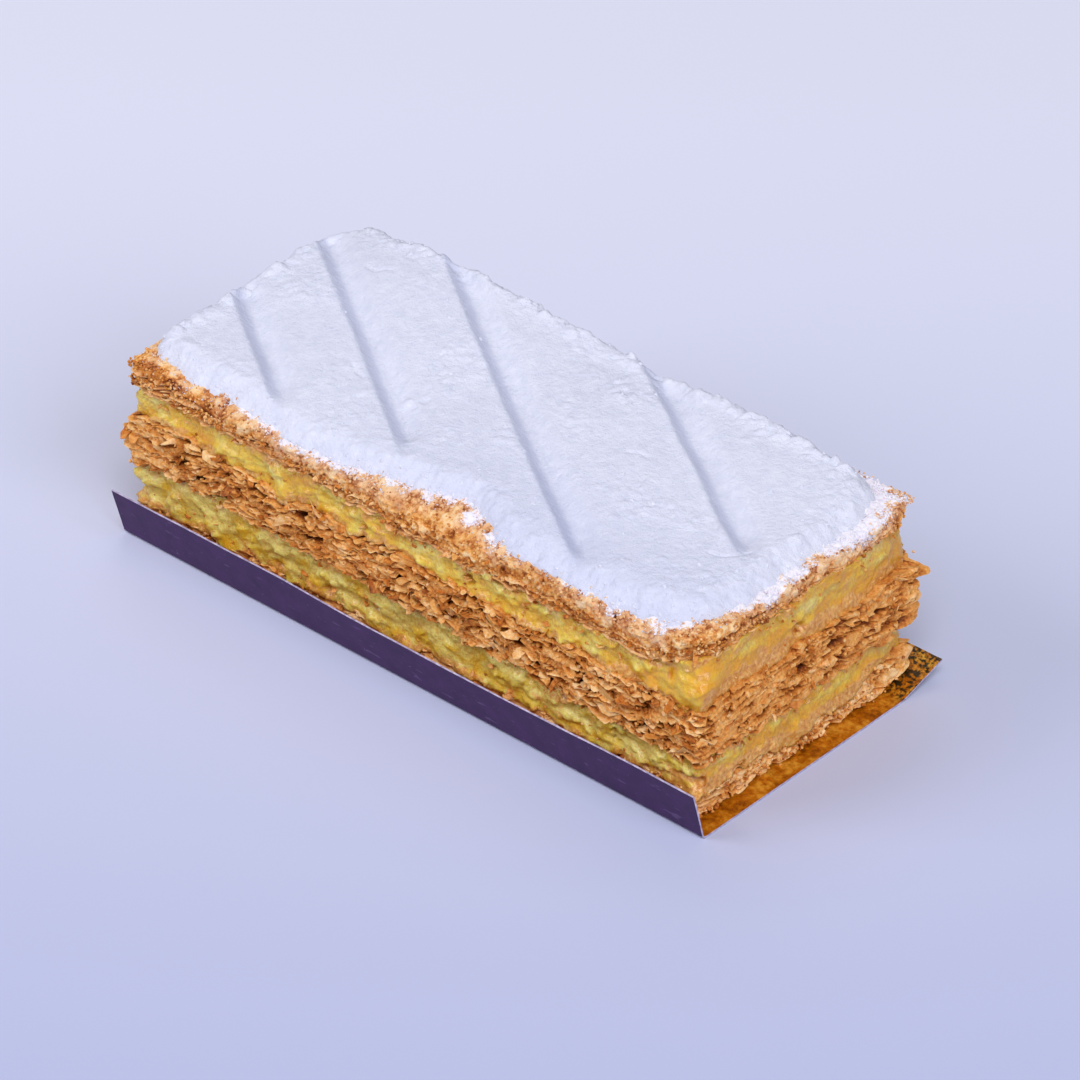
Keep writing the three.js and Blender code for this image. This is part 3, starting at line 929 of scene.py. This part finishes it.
def coat_relief(x, y, inside, behind, smooth):
    """Lumps, fluff and hairline cracks on the coat, in millimetres."""
    place = xyz(x, y, 0.0)
    patchy = 0.16 + 0.84 * step_up(fbm(place, 12.0, 750, 2), -0.05, 0.4)
    patchy = np.maximum(patchy, 1.1 * (1 - step_up(inside, 2.0, 9.0)))
    large, number = domes(place, 1.8, 751, 0.7)
    small, chosen = domes(place, 0.9, 752, 0.75)
    lumps = 0.36 * large * number ** 3 + 0.22 * small * chosen
    fluff = 0.06 * fbm(place, 2.2, 753, 3) + 0.08 * noise(place / 0.8, 754)
    fluff += 0.04 * np.random.default_rng(755).uniform(-1, 1, len(x))
    relief = (1 - 0.7 * smooth) * patchy * (lumps + fluff)
    tufts, number = domes(place, (3.4, 2.6, 3.0), 758, 0.8)
    relief += behind * (0.25 + 0.7 * step_up(x, -44, -30) + 1.5 * tufts * number ** 2 + lumps)
    relief += 0.15 * fbm(place, 13.0, 756, 2)
    uneven = 1 + 0.4 * noise(place / 0.9, 757)
    for at_x, at_y, reach, height in LUMPS:
        relief += height * bell(x, y, at_x, at_y, reach * 0.7) * uneven
    return relief - 0.3 * (1 - step_up(crack_distance(x, y), 0.1, 0.42))


def sugar_coat():
    """The thick coat of icing sugar, a closed sheet that dips into the crust at its edge."""
    left, right, front, back = FACES[TOP]
    xs = np.arange(left - 1.2, right + 0.6, SUGAR_STEP)
    ys = np.arange(front - 0.4, back + 1.2, SUGAR_STEP)
    x, y = (grid.ravel() for grid in np.meshgrid(xs, ys, indexing="ij"))
    inside = sugar_inside(x, y)
    behind = np.maximum(step_up(y, back - 7, back - 1), 0.7 * step_up(-x, 58, 63))
    thick = SUGAR_THICK * step_up(inside, -0.5, 4.0 - 1.9 * behind) ** 0.75
    thick += 0.3 * step_up(inside, -0.3, 0.4)
    pressed, smooth, groove_shade = groove_press(x, y)
    relief = coat_relief(x, y, inside, behind, smooth) - pressed * step_up(inside, 0.3, 3.6)
    coat = np.maximum(thick + relief * step_up(inside, 0.0, 3.0), 0.12 - 0.7 * step_up(inside, 1.5, 4.0))
    buried = -0.9 * step_up(-inside, 0.0, 0.9)
    beyond = np.maximum(np.maximum(left + 0.5 - x, y - back + 0.5), corner_cut(x, y) + 0.7)
    crust = crust_level(x, y) - 0.7 * np.maximum(beyond, 0) ** 1.5
    top = xyz(x, y, crust + (np.where(inside > -0.3, coat, 0) + buried))
    # The sheet's rim turns down, so its grid ends a little inside the crust.
    held = (y > front + 0.9) & (y < back - 0.7) & (x > left + 0.7) & (x < right - 0.9)
    keep = (inside > -1.3) & held & (corner_cut(x, y) < -0.7)
    # Painted shade: bluer towards the front, from the middle rightwards, and along the grooves' walls.
    shade = 0.3 * step_up(-y, -4, 22) * step_up(x, -30, 20) + 0.5 * groove_shade
    pile = Pile()
    quads = add_sheet(pile, top, crust - 1.1, keep.reshape(len(xs), len(ys)), shade)
    pile.piece("sugar_coat", [SUGAR], "icing_sugar", "sugar_top", smooth=True)
    return BVHTree.FromPolygons(top.tolist(), quads.tolist())


def add_sheet(pile, top, floor, keep, shade):
    """A closed solid over the kept places of a grid, between its top and a coarse floor."""
    kept = keep[:-1, :-1] & keep[1:, :-1] & keep[:-1, 1:] & keep[1:, 1:]
    on_grid = squares(np.arange(keep.size).reshape(keep.shape))[kept.ravel()][:, [0, 3, 2, 1]]
    used, packed = np.unique(on_grid, return_inverse=True)
    quads = packed.reshape(-1, 4)
    points = top[used]
    # The rim is made of the edges that only one square has.
    edges = np.concatenate([quads[:, [a, (a + 1) % 4]] for a in range(4)])
    key = edges.min(1) * len(used) + edges.max(1)
    _, first, count = np.unique(key, return_index=True, return_counts=True)
    rim = edges[first[count == 1]]
    around, where = np.unique(rim, return_inverse=True)
    where = where.reshape(-1, 2) + len(points)
    lowered = points[around]
    lowered[:, 2] = floor[used][around]
    middle = np.array([[points[:, 0].mean(), points[:, 1].mean(), lowered[:, 2].mean()]])
    walls = np.stack([rim[:, 1], rim[:, 0], where[:, 0], where[:, 1]], 1)
    centre = len(points) + len(lowered)
    base = np.stack([where[:, 1], where[:, 0], np.full(len(rim), centre)], 1)
    shade = np.concatenate([shade[used], shade[used][around], [0]])
    pile.add(np.concatenate([points, lowered, middle]), [quads, walls, base], shade=shade)
    return on_grid


# ---------------------------------------------------------------- loose crumbs and grains

# Crumbs on the sides: layer, how many and up to which radius.
SIDE_CRUMBS = ((BOTTOM, 900, 0.42), (LOWER, 900, 0.34), (UPPER, 800, 0.34), (MIDDLE, 800, 0.36))
# Heights above the whole slice, and within its side.
ABOVE_ALL, IN_SIDE = 60, 30.0
# Flakes have one of two grids of points. There are fewer of them on the sawn right end, and hardly
# any where the back right corner is drawn in.
SMALL, LARGE = (3, 3), (5, 4)
CLEAR_OF_CORNER = 1 - near_corner(1, 8)
MOST = by_side(1.0, 0.3, 1.0, 1.5) * CLEAR_OF_CORNER + 0.001
EVEN = by_side(1.0, 0.5, 1.0, 1.0) * CLEAR_OF_CORNER + 0.001
# Layer, how many, between which shares of its height, where, scale, grid and tilt.
FLAKES = (
    (MIDDLE, 760, 0.02, 0.98, MOST, 0.75, SMALL, 0.25),
    (TOP, 500, 0.02, 0.6, MOST, 0.5, SMALL, 0.4),
    (BOTTOM, 500, 0.1, 1.0, MOST, 0.5, SMALL, 0.4),
    (UPPER, 150, 0.0, 1.0, EVEN, 0.5, SMALL, 0.6),
    (LOWER, 150, 0.0, 1.0, EVEN, 0.5, SMALL, 0.6),
    (MIDDLE, 230, 0.08, 0.95, EVEN, 1.25, LARGE, 0.2),
    (MIDDLE, 50, 0.15, 0.85, MOST, 0.9, LARGE, 1.0),
    (BOTTOM, 60, 0.3, 1.0, EVEN, 0.9, LARGE, 0.5),
    (UPPER, 45, 0.0, 1.0, EVEN, 0.9, LARGE, 1.2),
    (LOWER, 45, 0.0, 1.0, EVEN, 0.9, LARGE, 1.2),
    (TOP, 70, 0.05, 0.5, EVEN, 0.9, LARGE, 0.4),
)


def strewn(count, inset, rng, behind=0.0):
    """Random places over the top layer, and how far they are inside the sugar's edge."""
    left, right, front, back = FACES[TOP]
    x = rng.uniform(left + inset, right - inset, count)
    y = rng.uniform(front + inset, back - inset + behind, count)
    return x, y, sugar_inside(x, y)


def first_of(most, wanted, *lists):
    """The first values that are wanted, from each list."""
    return (values[wanted][:most] for values in lists)


def crust_crumbs():
    """Crumbs that stick to the crusts and the custard, joined into one piece."""
    rng = np.random.default_rng(811)
    pile = Pile()
    column, _, centres = stuck_on(TOP, 2200, by_side(1.0, 1.0, 1.0, 1.0) + 0.01, 0.2, 1.0, rng)
    move_out(centres, column, rng.uniform(-0.5, 0.35, len(centres)) * by_side(1, 0.7, 1, 1)[column])
    radius = rng.uniform(0.12, 0.32, len(centres))
    tone = rng.uniform(0.25, 0.85, len(centres))
    add_crumbs(pile, centres, radius, LUMP, rng, tone=tone, dust=sugar_dust(centres) - 0.12)

    x, y, inside = strewn(26000, 0.3, rng)
    wanted = (inside < rng.uniform(-1.0, 1.3, len(x))) & (corner_cut(x, y) < -0.8)
    x, y, inside = first_of(3000, wanted, x, y, inside)
    lift = rng.uniform(0.0, 0.35, len(x)) + np.clip(inside, 0, 1) * 0.5
    centres = xyz(x, y, crust_level(x, y) + lift)
    radius = rng.uniform(0.12, 0.3, len(x))
    tone = rng.uniform(0.35, 0.85, len(x))
    dust = sugar_dust(centres) + rng.uniform(-0.2, 0.15, len(x))
    add_crumbs(pile, centres, radius, LUMP, rng, tone=tone, dust=dust)

    for name, count, big in SIDE_CRUMBS:
        column, share, centres = stuck_on(name, count, 0.01 + CLEAR_OF_CORNER, 0.0, 1.0, rng)
        if name in (LOWER, UPPER):
            near_edge = np.abs(2 * share - 1) > rng.uniform(0.2, 1.0, count)
            column, centres = column[near_edge], centres[near_edge]
        move_out(centres, column, rng.uniform(-0.45, 0.2, len(centres)))
        radius = rng.uniform(0.12, big, len(centres))
        tone = rng.uniform(0.3, 0.85, len(centres))
        add_crumbs(pile, centres, radius, LUMP, rng, tone=tone, dust=NO_DUST)
    pile.piece("crust_crumbs", [PASTRY], "pastry")


def loose_flakes():
    """Torn flakes and larger scraps of leaf that stand out from the sides, joined into one piece."""
    rng = np.random.default_rng(822)
    pile = Pile()
    for name, count, low, high, weights, scale, shape, tilt in FLAKES:
        column, _, centres = stuck_on(name, count, weights, low, high, rng)
        sawn = RIGHT[column]
        out = rng.uniform(-0.9, 0.1, count) * (1 - 0.5 * sawn) - 0.35 * (shape == LARGE)
        move_out(centres, column, out)
        frames = flake_frames(column, (0.6, tilt, 0.25), rng)
        size = np.stack([rng.uniform(0.6, 1.9, count), rng.uniform(0.5, 1.2, count)], 1) * scale
        size *= (1 - 0.3 * sawn)[:, None]
        if shape == LARGE:
            size *= (1.3, 0.8)
        thick = rng.uniform(0.1, 0.24, count)
        tone = rng.uniform(0.3, 0.9, count)
        add_flakes(pile, centres, frames, size, thick, shape, rng, tone=tone, dust=NO_DUST)
    pile.piece("pastry_flakes", [PASTRY], "pastry")


def coat_lumps(pile, coat, rng):
    """Small soft lumps that lie on the coat of sugar, most of them near its rim."""
    x, y, inside = strewn(9000, 0.0, rng, 0.6)
    chance = 0.06 + 0.6 * np.exp(-np.clip(inside - 0.6, 0, 30) / 2.0) + 0.35 * fbm(xyz(x, y, 0.0), 7.0, 846)
    chance *= 1 - groove_press(x, y)[1]
    wanted = (inside > 0.5) & (rng.uniform(0, 1, len(x)) < chance) & (corner_cut(x, y) < 0)
    # The few lumps whose place is beyond the sheet's rim lie in the side of the slice.
    centres = np.array([coat.ray_cast(Vector((a, b, ABOVE_ALL)), DOWN)[0] or (a, b, IN_SIDE)
                        for a, b in zip(*first_of(1500, wanted, x, y))])
    radius = 0.14 + 0.3 * rng.uniform(0, 1, len(centres)) ** 3
    add_crumbs(pile, centres - 0.14 * UP, radius, LUMP, rng)


def sugar_grains(coat):
    """Grains of sugar strewn over the margin, the upper crust and the coat, joined into one piece."""
    rng = np.random.default_rng(833)
    x, y, inside = strewn(60000, 0.2, rng)
    chance = np.exp(-np.clip(-inside, 0, 9) / 1.7) * (0.35 + 1.5 * fbm(xyz(x, y, 0.0), 2.0, 840))
    wanted = (inside < 0.8) & (rng.uniform(0, 1, len(x)) < chance) & (corner_cut(x, y) < -0.5)
    x, y, inside = first_of(7200, wanted, x, y, inside)
    level = crust_level(x, y)
    relief, _ = crust_relief(xyz(x, y, level))
    z = level + 0.75 * relief - 0.15 + 0.5 * np.clip(inside + 0.2, 0, 1)
    pile = Pile()
    radius = 0.06 + 0.17 * rng.uniform(0, 1, len(x)) ** 2
    add_crumbs(pile, xyz(x, y, z), radius, GRAIN, rng)
    column, _, centres = stuck_on(TOP, 3000, by_side(1.0, 1.0, 0.8, 0.9) + 0.01, 0.5, 1.0, rng)
    move_out(centres, column, rng.uniform(-0.3, 0.35, len(centres)))
    centres = centres[sugar_dust(centres) > rng.uniform(0.35, 1.0, len(centres))]
    radius = 0.06 + 0.2 * rng.uniform(0, 1, len(centres)) ** 2
    add_crumbs(pile, centres, radius, GRAIN, rng)
    coat_lumps(pile, coat, rng)
    pile.piece("sugar_grains", [SUGAR], "icing_sugar")


# ---------------------------------------------------------------- card tray

CARD_COLUMNS = 140


def bend(start, corner, end):
    """Points along a smooth bend, where a fold would have its corner."""
    t = np.linspace(0, 1, 7)[:, None]
    return (1 - t) ** 2 * np.array(start) + 2 * t * (1 - t) * np.array(corner) + t * t * np.array(end)


def tray_profile():
    """The tray's section: points of its under side as (y, z), from the front flap's top on."""
    r = FOLD_RADIUS
    top = (FRONT_FOLD - FRONT_FLAP[0], FRONT_FLAP[1])
    front = ((FRONT_FOLD - r * FRONT_FLAP[0] / FRONT_FLAP[1], r), (FRONT_FOLD, 0), (FRONT_FOLD + r, 0))
    back = ((BACK_FOLD - r, 0), (BACK_FOLD, 0), (BACK_FOLD + r, r * BACK_SLOPE))
    end = (BACK_FOLD + BACK_FLAP[0], BACK_FLAP[1])
    return np.concatenate([
        np.linspace(top, front[0], 12)[:-1],
        bend(*front),
        np.linspace(front[2], back[0], 24)[1:-1],
        bend(*back),
        np.linspace(back[2], end, 12)[1:],
    ])


def card_sides():
    """Points of the card's outside and inside, how worn it is, and where its flat flap is."""
    under = tray_profile()
    along = np.gradient(under, axis=0)
    along /= np.linalg.norm(along, axis=1)[:, None]
    normal = np.tile(xyz(0.0, -along[:, 1], along[:, 0]), (CARD_COLUMNS, 1))
    x = np.repeat(np.linspace(tray_low.x / MM, tray_high.x / MM, CARD_COLUMNS), len(under))
    y, z = np.tile(under, (CARD_COLUMNS, 1)).T
    place = xyz(x, y, z)
    free = np.clip(z / FRONT_FLAP[1], 0, 1)
    z = z * (1 - 0.085 * free * np.exp(-((x - 18) / 38) ** 2))
    wave = 0.28 * free * fbm(place, (26.0, 20.0, 20.0), 900, 2)
    outside = xyz(x, y, z) + normal * wave[:, None]
    outside[:, 2] = np.maximum(outside[:, 2], 0)
    crinkle = 0.05 * fbm(place, 2.6, 910) * (0.35 + step_up(free, 0.0, 0.1))
    inside = outside + normal * (CARD_SHOWN + crinkle)[:, None]
    from_fold = np.minimum(np.abs(y - FRONT_FOLD), np.abs(y - BACK_FOLD)) + z * 0.6
    from_end = np.minimum(x - x[0], x[-1] - x)
    from_top = np.minimum(FRONT_FLAP[1] - z + 30 * (y > 0), BACK_FOLD + BACK_FLAP[0] - y)
    worn = np.exp(-from_fold / 0.5) + 0.3 * np.exp(-np.minimum(from_end, from_top) / 0.2)
    return outside, inside, worn, step_up(y, BACK_FOLD - 1, BACK_FOLD + 0.5)


def card_case():
    """The folded card, with foil inside and a pale cut edge all round."""
    outside, inside, worn, flap = card_sides()
    grid = np.arange(len(outside)).reshape(CARD_COLUMNS, -1)
    quads = squares(grid)
    pile = Pile()
    pile.add(outside, [quads[:, ::-1]], 0, worn=worn, flap=flap)
    pile.add(inside, [quads], 1, worn=worn, flap=flap)
    # The cut edge uses its own points, so its corners stay sharp.
    rim = rim_of(grid)
    here = np.arange(len(rim))
    beside = np.roll(here, -1)
    walls = np.stack([here, beside, beside + len(rim), here + len(rim)], 1)
    pile.add(np.concatenate([outside[rim], inside[rim]]), [walls], 2, worn=0.0, flap=0.0)
    pile.piece("card_case", [CARD_OUTSIDE, FOIL, CARD_EDGE], "foil_card", "card_tray")


# ---------------------------------------------------------------- materials

def linear(*screen):
    """The renderer's colour for one given as 0 to 255 on a screen."""
    shares = (value / 255 for value in screen)
    return (*(s / 12.92 if s <= 0.04045 else ((s + 0.055) / 1.055) ** 2.4 for s in shares), 1.0)


class Recipe:
    """A material under construction, with short ways to add and join nodes."""

    def __init__(self, name, **plain):
        self.material = bpy.data.materials.new(name)
        self.material.use_nodes = True
        self.tree = self.material.node_tree
        self.shader = self.tree.nodes["Principled BSDF"]
        for socket, value in plain.items():
            self.shader.inputs[socket.replace("_", " ")].default_value = value
        self.place = self.add("ShaderNodeTexCoord").outputs["Object"]

    def add(self, kind, inputs=None, **settings):
        """Adds a node, with its inputs given as values or as sockets to join."""
        made = self.tree.nodes.new(kind)
        for name, value in settings.items():
            setattr(made, name, value)
        for name, value in (inputs or {}).items():
            self.join(value, made.inputs[name])
        return made

    def join(self, value, socket):
        if isinstance(value, bpy.types.NodeSocket):
            self.tree.links.new(value, socket)
        else:
            socket.default_value = value

    def noise(self, size, detail=3.0, rough=0.55, stretch=None):
        """Noise from 0 to 1 whose largest waves are `size` millimetres."""
        place = self.place
        if stretch:
            place = self.add("ShaderNodeMapping", {"Vector": place, "Scale": stretch}).outputs[0]
        inputs = {"Vector": place, "Scale": 1 / (size * MM), "Detail": detail, "Roughness": rough}
        return self.add("ShaderNodeTexNoise", inputs).outputs[0]

    def value(self, name):
        """A value that the mesh's points carry."""
        return self.add("ShaderNodeAttribute", attribute_name=name).outputs["Fac"]

    def times(self, a, b, plus=0.0):
        """a times b, plus a third value."""
        return self.add("ShaderNodeMath", {0: a, 1: b, 2: plus}, operation="MULTIPLY_ADD").outputs[0]

    def rise(self, value, low, high):
        """0 below low, 1 above high, and a smooth rise between them."""
        inputs = {"Value": value, "From Min": low, "From Max": high}
        return self.add("ShaderNodeMapRange", inputs, interpolation_type="SMOOTHSTEP").outputs[0]

    def specks(self, size, detail, low, high):
        """Patches where noise rises above a level."""
        return self.rise(self.noise(size, detail), low, high)

    def ramp(self, value, *stops):
        """A colour for a value, from stops that are given as their place, red, green and blue."""
        made = self.add("ShaderNodeValToRGB", {"Fac": value})
        while len(made.color_ramp.elements) < len(stops):
            made.color_ramp.elements.new(0.5)
        for element, (at, *screen) in zip(made.color_ramp.elements, stops):
            element.position = at
            element.color = linear(*screen)
        return made.outputs["Color"]

    def mix(self, share, a, b):
        return self.add("ShaderNodeMix", {0: share, 6: a, 7: b}, data_type="RGBA").outputs[2]

    def tint(self, colour, share, strength, *screen):
        """A colour that is drawn towards another one by a share times a strength."""
        return self.mix(self.times(share, strength), colour, linear(*screen))

    def bump(self, height, distance, strength):
        inputs = {"Height": height, "Distance": distance * MM, "Strength": strength}
        self.join(self.add("ShaderNodeBump", inputs).outputs[0], self.shader.inputs["Normal"])

    def finish(self, colour, roughness):
        self.join(colour, self.shader.inputs["Base Color"])
        self.join(roughness, self.shader.inputs["Roughness"])
        return self.material


def pastry_material():
    """Baked pastry: browner where the tone is low, which is partly painted shade in its recesses, and white
    where sugar has fallen on it.
    """
    make = Recipe("baked_pastry", Specular_IOR_Level=0.3, Subsurface_Weight=0.1,
                  Subsurface_Scale=0.0006, Subsurface_Radius=(1.0, 0.5, 0.2))
    tone = make.times(make.noise(2.6), 0.7, make.value("tone"))
    tone = make.times(make.noise(0.5, 2.0), 0.8, tone)
    tone = make.times(tone, 1.0, -0.75)
    colour = make.ramp(tone, (0.0, 96, 42, 10), (0.2, 148, 76, 22), (0.42, 200, 121, 44),
                       (0.68, 230, 166, 84), (1.0, 248, 210, 150))
    warm = make.specks(8.0, 3.0, 0.5, 0.68)
    colour = make.tint(colour, warm, 0.35, 196, 116, 34)
    veil = make.times(make.rise(make.value("dust"), -0.5, 0.7), make.rise(tone, 0.1, 0.7))
    colour = make.tint(colour, veil, 0.55, 234, 208, 178)
    normal = make.add("ShaderNodeNewGeometry").outputs["Normal"]
    facing = make.add("ShaderNodeSeparateXYZ", {0: normal}).outputs["Z"]
    dust = make.times(facing, 0.16, make.value("dust"))
    dust = make.rise(make.times(make.noise(0.42, 2.0), 1.0, dust), 1.06, 1.2)
    colour = make.tint(colour, dust, 0.9, 240, 238, 244)
    make.bump(make.noise(0.4), 0.12, 0.7)
    return make.finish(colour, make.times(make.noise(1.2), 0.3, 0.5))


def custard_material():
    """Moist custard, with painted shade darkening its hollows, and patches of baked crumb."""
    make = Recipe("custard", Specular_IOR_Level=0.5, Subsurface_Weight=0.4, Subsurface_Scale=0.0016,
                  Subsurface_Radius=(1.0, 0.62, 0.16), Coat_Weight=0.45, Coat_Roughness=0.14)
    deep = make.times(make.noise(2.4, 4.0), 1.1, make.value("deep"))
    deep = make.times(make.noise(0.7, 2.0), 0.3, deep)
    deep = make.times(deep, 1.0, -0.66)
    colour = make.ramp(deep, (0.0, 236, 218, 116), (0.3, 235, 203, 74),
                       (0.6, 235, 187, 42), (1.0, 234, 167, 20))
    grain = make.noise(0.5, 4.0, 0.65)
    # Painted shade: the colour is drawn towards a dark orange where the custard lies deep.
    hollow = make.rise(make.times(make.value("relief"), 0.22, grain), 0.6, 0.34)
    colour = make.tint(colour, hollow, 0.5, 200, 126, 14)
    baked = make.rise(make.times(make.noise(0.9), 1.1, make.value("baked")), 0.8, 1.2)
    crumb = make.ramp(make.noise(0.6), (0.3, 190, 116, 44), (0.5, 224, 156, 74), (0.7, 246, 200, 124))
    colour = make.mix(make.times(baked, 0.85), colour, crumb)
    make.bump(grain, 0.34, 0.9)
    return make.finish(colour, make.times(grain, 0.5, 0.12))


def sugar_material():
    """Icing sugar, with painted shade: bluer towards the front and along the grooves."""
    make = Recipe("icing_sugar", Specular_IOR_Level=0.2)
    colour = make.ramp(make.noise(2.0, 4.0), (0.3, 219, 222, 233), (0.7, 231, 233, 241))
    colour = make.tint(colour, make.specks(0.7, 1.0, 0.76, 0.8), 0.3, 190, 186, 190)
    colour = make.mix(make.value("shade"), colour, linear(194, 199, 222))
    make.bump(make.times(make.noise(0.3, 3.0, 0.7), 0.8, make.noise(0.8, 2.0)), 0.26, 0.9)
    return make.finish(colour, 0.9)


def card_material():
    """Aubergine card, with pale fibres and worn folds and edges."""
    make = Recipe("card_outside", Specular_IOR_Level=0.35)
    colour = make.ramp(make.noise(3.0, 4.0), (0.3, 54, 26, 72), (0.7, 68, 33, 86))
    fibre = make.rise(make.noise(1.3, 2.0, 0.5, (0.35, 1.0, 1.3)), 0.66, 0.74)
    colour = make.tint(colour, fibre, 0.3, 124, 104, 146)
    colour = make.tint(colour, make.specks(0.45, 1.0, 0.74, 0.78), 0.3, 150, 130, 172)
    worn = make.rise(make.times(make.noise(0.8), 1.1, make.value("worn")), 1.15, 1.45)
    colour = make.mix(worn, colour, linear(196, 188, 212))
    make.bump(make.noise(0.5), 0.05, 0.5)
    return make.finish(colour, 0.6)


def foil_material():
    """Gold foil, crinkled, with painted glints in its mottled colour and dark specks on the flat flap."""
    make = Recipe("gold_foil", Metallic=0.5)
    cloud = make.times(make.noise(1.1, 4.0, 0.7), 0.6, make.times(make.noise(6.0), 0.4))
    # The mottling is partly the foil's own gold, partly painted glints: its palest stop is a painted
    # highlight.
    colour = make.ramp(cloud, (0.36, 140, 74, 2), (0.5, 208, 128, 10), (0.62, 246, 186, 60))
    dark_specks = make.times(make.specks(0.8, 2.0, 0.42, 0.6), make.value("flap"))
    colour = make.mix(dark_specks, colour, linear(58, 44, 14))
    cells = make.add("ShaderNodeTexVoronoi", {"Vector": make.place, "Scale": 1 / (0.9 * MM)},
                     feature="DISTANCE_TO_EDGE").outputs["Distance"]
    make.bump(make.times(cells, 0.3, make.noise(1.2, 4.0)), 0.25, 0.9)
    return make.finish(colour, make.times(cloud, 0.3, 0.25))


def edge_material():
    """The card's cut edge."""
    make = Recipe("card_cut_edge", Specular_IOR_Level=0.3)
    return make.finish(make.ramp(make.noise(0.9), (0.3, 140, 128, 158), (0.7, 206, 200, 222)), 0.8)


PASTRY = pastry_material()
CUSTARD = custard_material()
SUGAR = sugar_material()
CARD_OUTSIDE = card_material()
FOIL = foil_material()
CARD_EDGE = edge_material()

# ---------------------------------------------------------------- the object

card_case()
pastry_layers()
add_cream(LOWER, "lower_custard", 301)
add_cream(UPPER, "upper_custard", 351)
top_crust()
coat_surface = sugar_coat()
crust_crumbs()
loose_flakes()
sugar_grains(coat_surface)

# ---------------------------------------------------------------- floor, light and camera

FOCAL_PIXELS = 4547.18
PICTURE = 1080
SENSOR = 36
ELEVATION, AZIMUTH = math.radians(33.23), math.radians(42.19)
DISTANCE, SHIFT_RIGHT, SHIFT_UP = 757.41, 6.11, 12.43
TABLE_HALF, TABLE_GAP = 3.0, 0.00005
COOL = (0.90, 0.90, 1.0)
# How far each light is to the right, back and up as seen from the camera, its size and its power.
LIGHTS = {
    "soft_left": (-1.1, -0.2, 0.72, 0.7, 7.4),
    "soft_right": (0.66, -0.88, 0.78, 0.8, 8.2),
    "soft_front": (0.0, -1.5, 2.1, 1.2, 33.0),
    "soft_back": (0.0, 1.3, 1.5, 1.0, 4.0),
}

scene = bpy.context.scene
to_camera = Vector((math.sin(AZIMUTH) * math.cos(ELEVATION), -math.cos(AZIMUTH) * math.cos(ELEVATION),
                    math.sin(ELEVATION)))
to_right = to_camera.cross(DOWN).normalized()
to_top = to_camera.cross(to_right)
away = Vector((-to_camera.x, -to_camera.y, 0)).normalized()


def floor_material():
    """The pale table, a little darker and bluer towards the camera, as if lit from behind."""
    make = Recipe("pale_table", Specular_IOR_Level=0.25)
    ahead = make.add("ShaderNodeVectorMath", {0: make.place, 1: away}, operation="DOT_PRODUCT")
    share = make.rise(ahead.outputs["Value"], -0.25, 0.26)
    colour = make.mix(share, linear(174, 181, 211), linear(235, 237, 247))
    return make.finish(colour, 0.55)


def add_floor():
    """The table, which isn't part of the object."""
    corners = [(x * TABLE_HALF, y * TABLE_HALF, 0) for x, y in ((-1, -1), (1, -1), (1, 1), (-1, 1))]
    mesh = bpy.data.meshes.new("table")
    mesh.from_pydata(corners, [], [(0, 1, 2, 3)])
    mesh.materials.append(floor_material())
    table = bpy.data.objects.new("table", mesh)
    scene.collection.objects.link(table)
    table.location.z = -TABLE_GAP


def add_camera():
    """The camera that took the photo, as worked out from the tray's corners."""
    camera = bpy.data.objects.new("camera", bpy.data.cameras.new("camera"))
    scene.collection.objects.link(camera)
    middle = Vector((TRAY_MID, FLOOR_MID, 0))
    camera.location = (middle + to_camera * DISTANCE + to_right * SHIFT_RIGHT + to_top * SHIFT_UP) * MM
    camera.rotation_euler = to_camera.to_track_quat("Z", "Y").to_euler()
    camera.data.sensor_width = SENSOR
    camera.data.lens = FOCAL_PIXELS * SENSOR / PICTURE
    camera.data.clip_start = 0.01
    camera.data.clip_end = 20
    scene.camera = camera


def add_light(name, right, back, up, size, power):
    """A square soft light, aimed at the slice."""
    light = bpy.data.objects.new(name, bpy.data.lights.new(name, "AREA"))
    scene.collection.objects.link(light)
    light.location = to_right * right + away * back + Vector((0, 0, up))
    aim = Vector((0, 0, 0.02)) - light.location
    light.rotation_euler = aim.to_track_quat("-Z", "Y").to_euler()
    light.data.size = size
    light.data.energy = power
    light.data.color = COOL


def add_world():
    """Dim, slightly blue light from all round."""
    world = bpy.data.worlds.new("studio")
    world.use_nodes = True
    background = world.node_tree.nodes["Background"]
    background.inputs["Color"].default_value = (0.84, 0.86, 1.0, 1.0)
    background.inputs["Strength"].default_value = 0.2
    scene.world = world


add_floor()
add_camera()
add_world()
for light_name, settings in LIGHTS.items():
    add_light(light_name, *settings)
scene.view_settings.view_transform = "Standard"
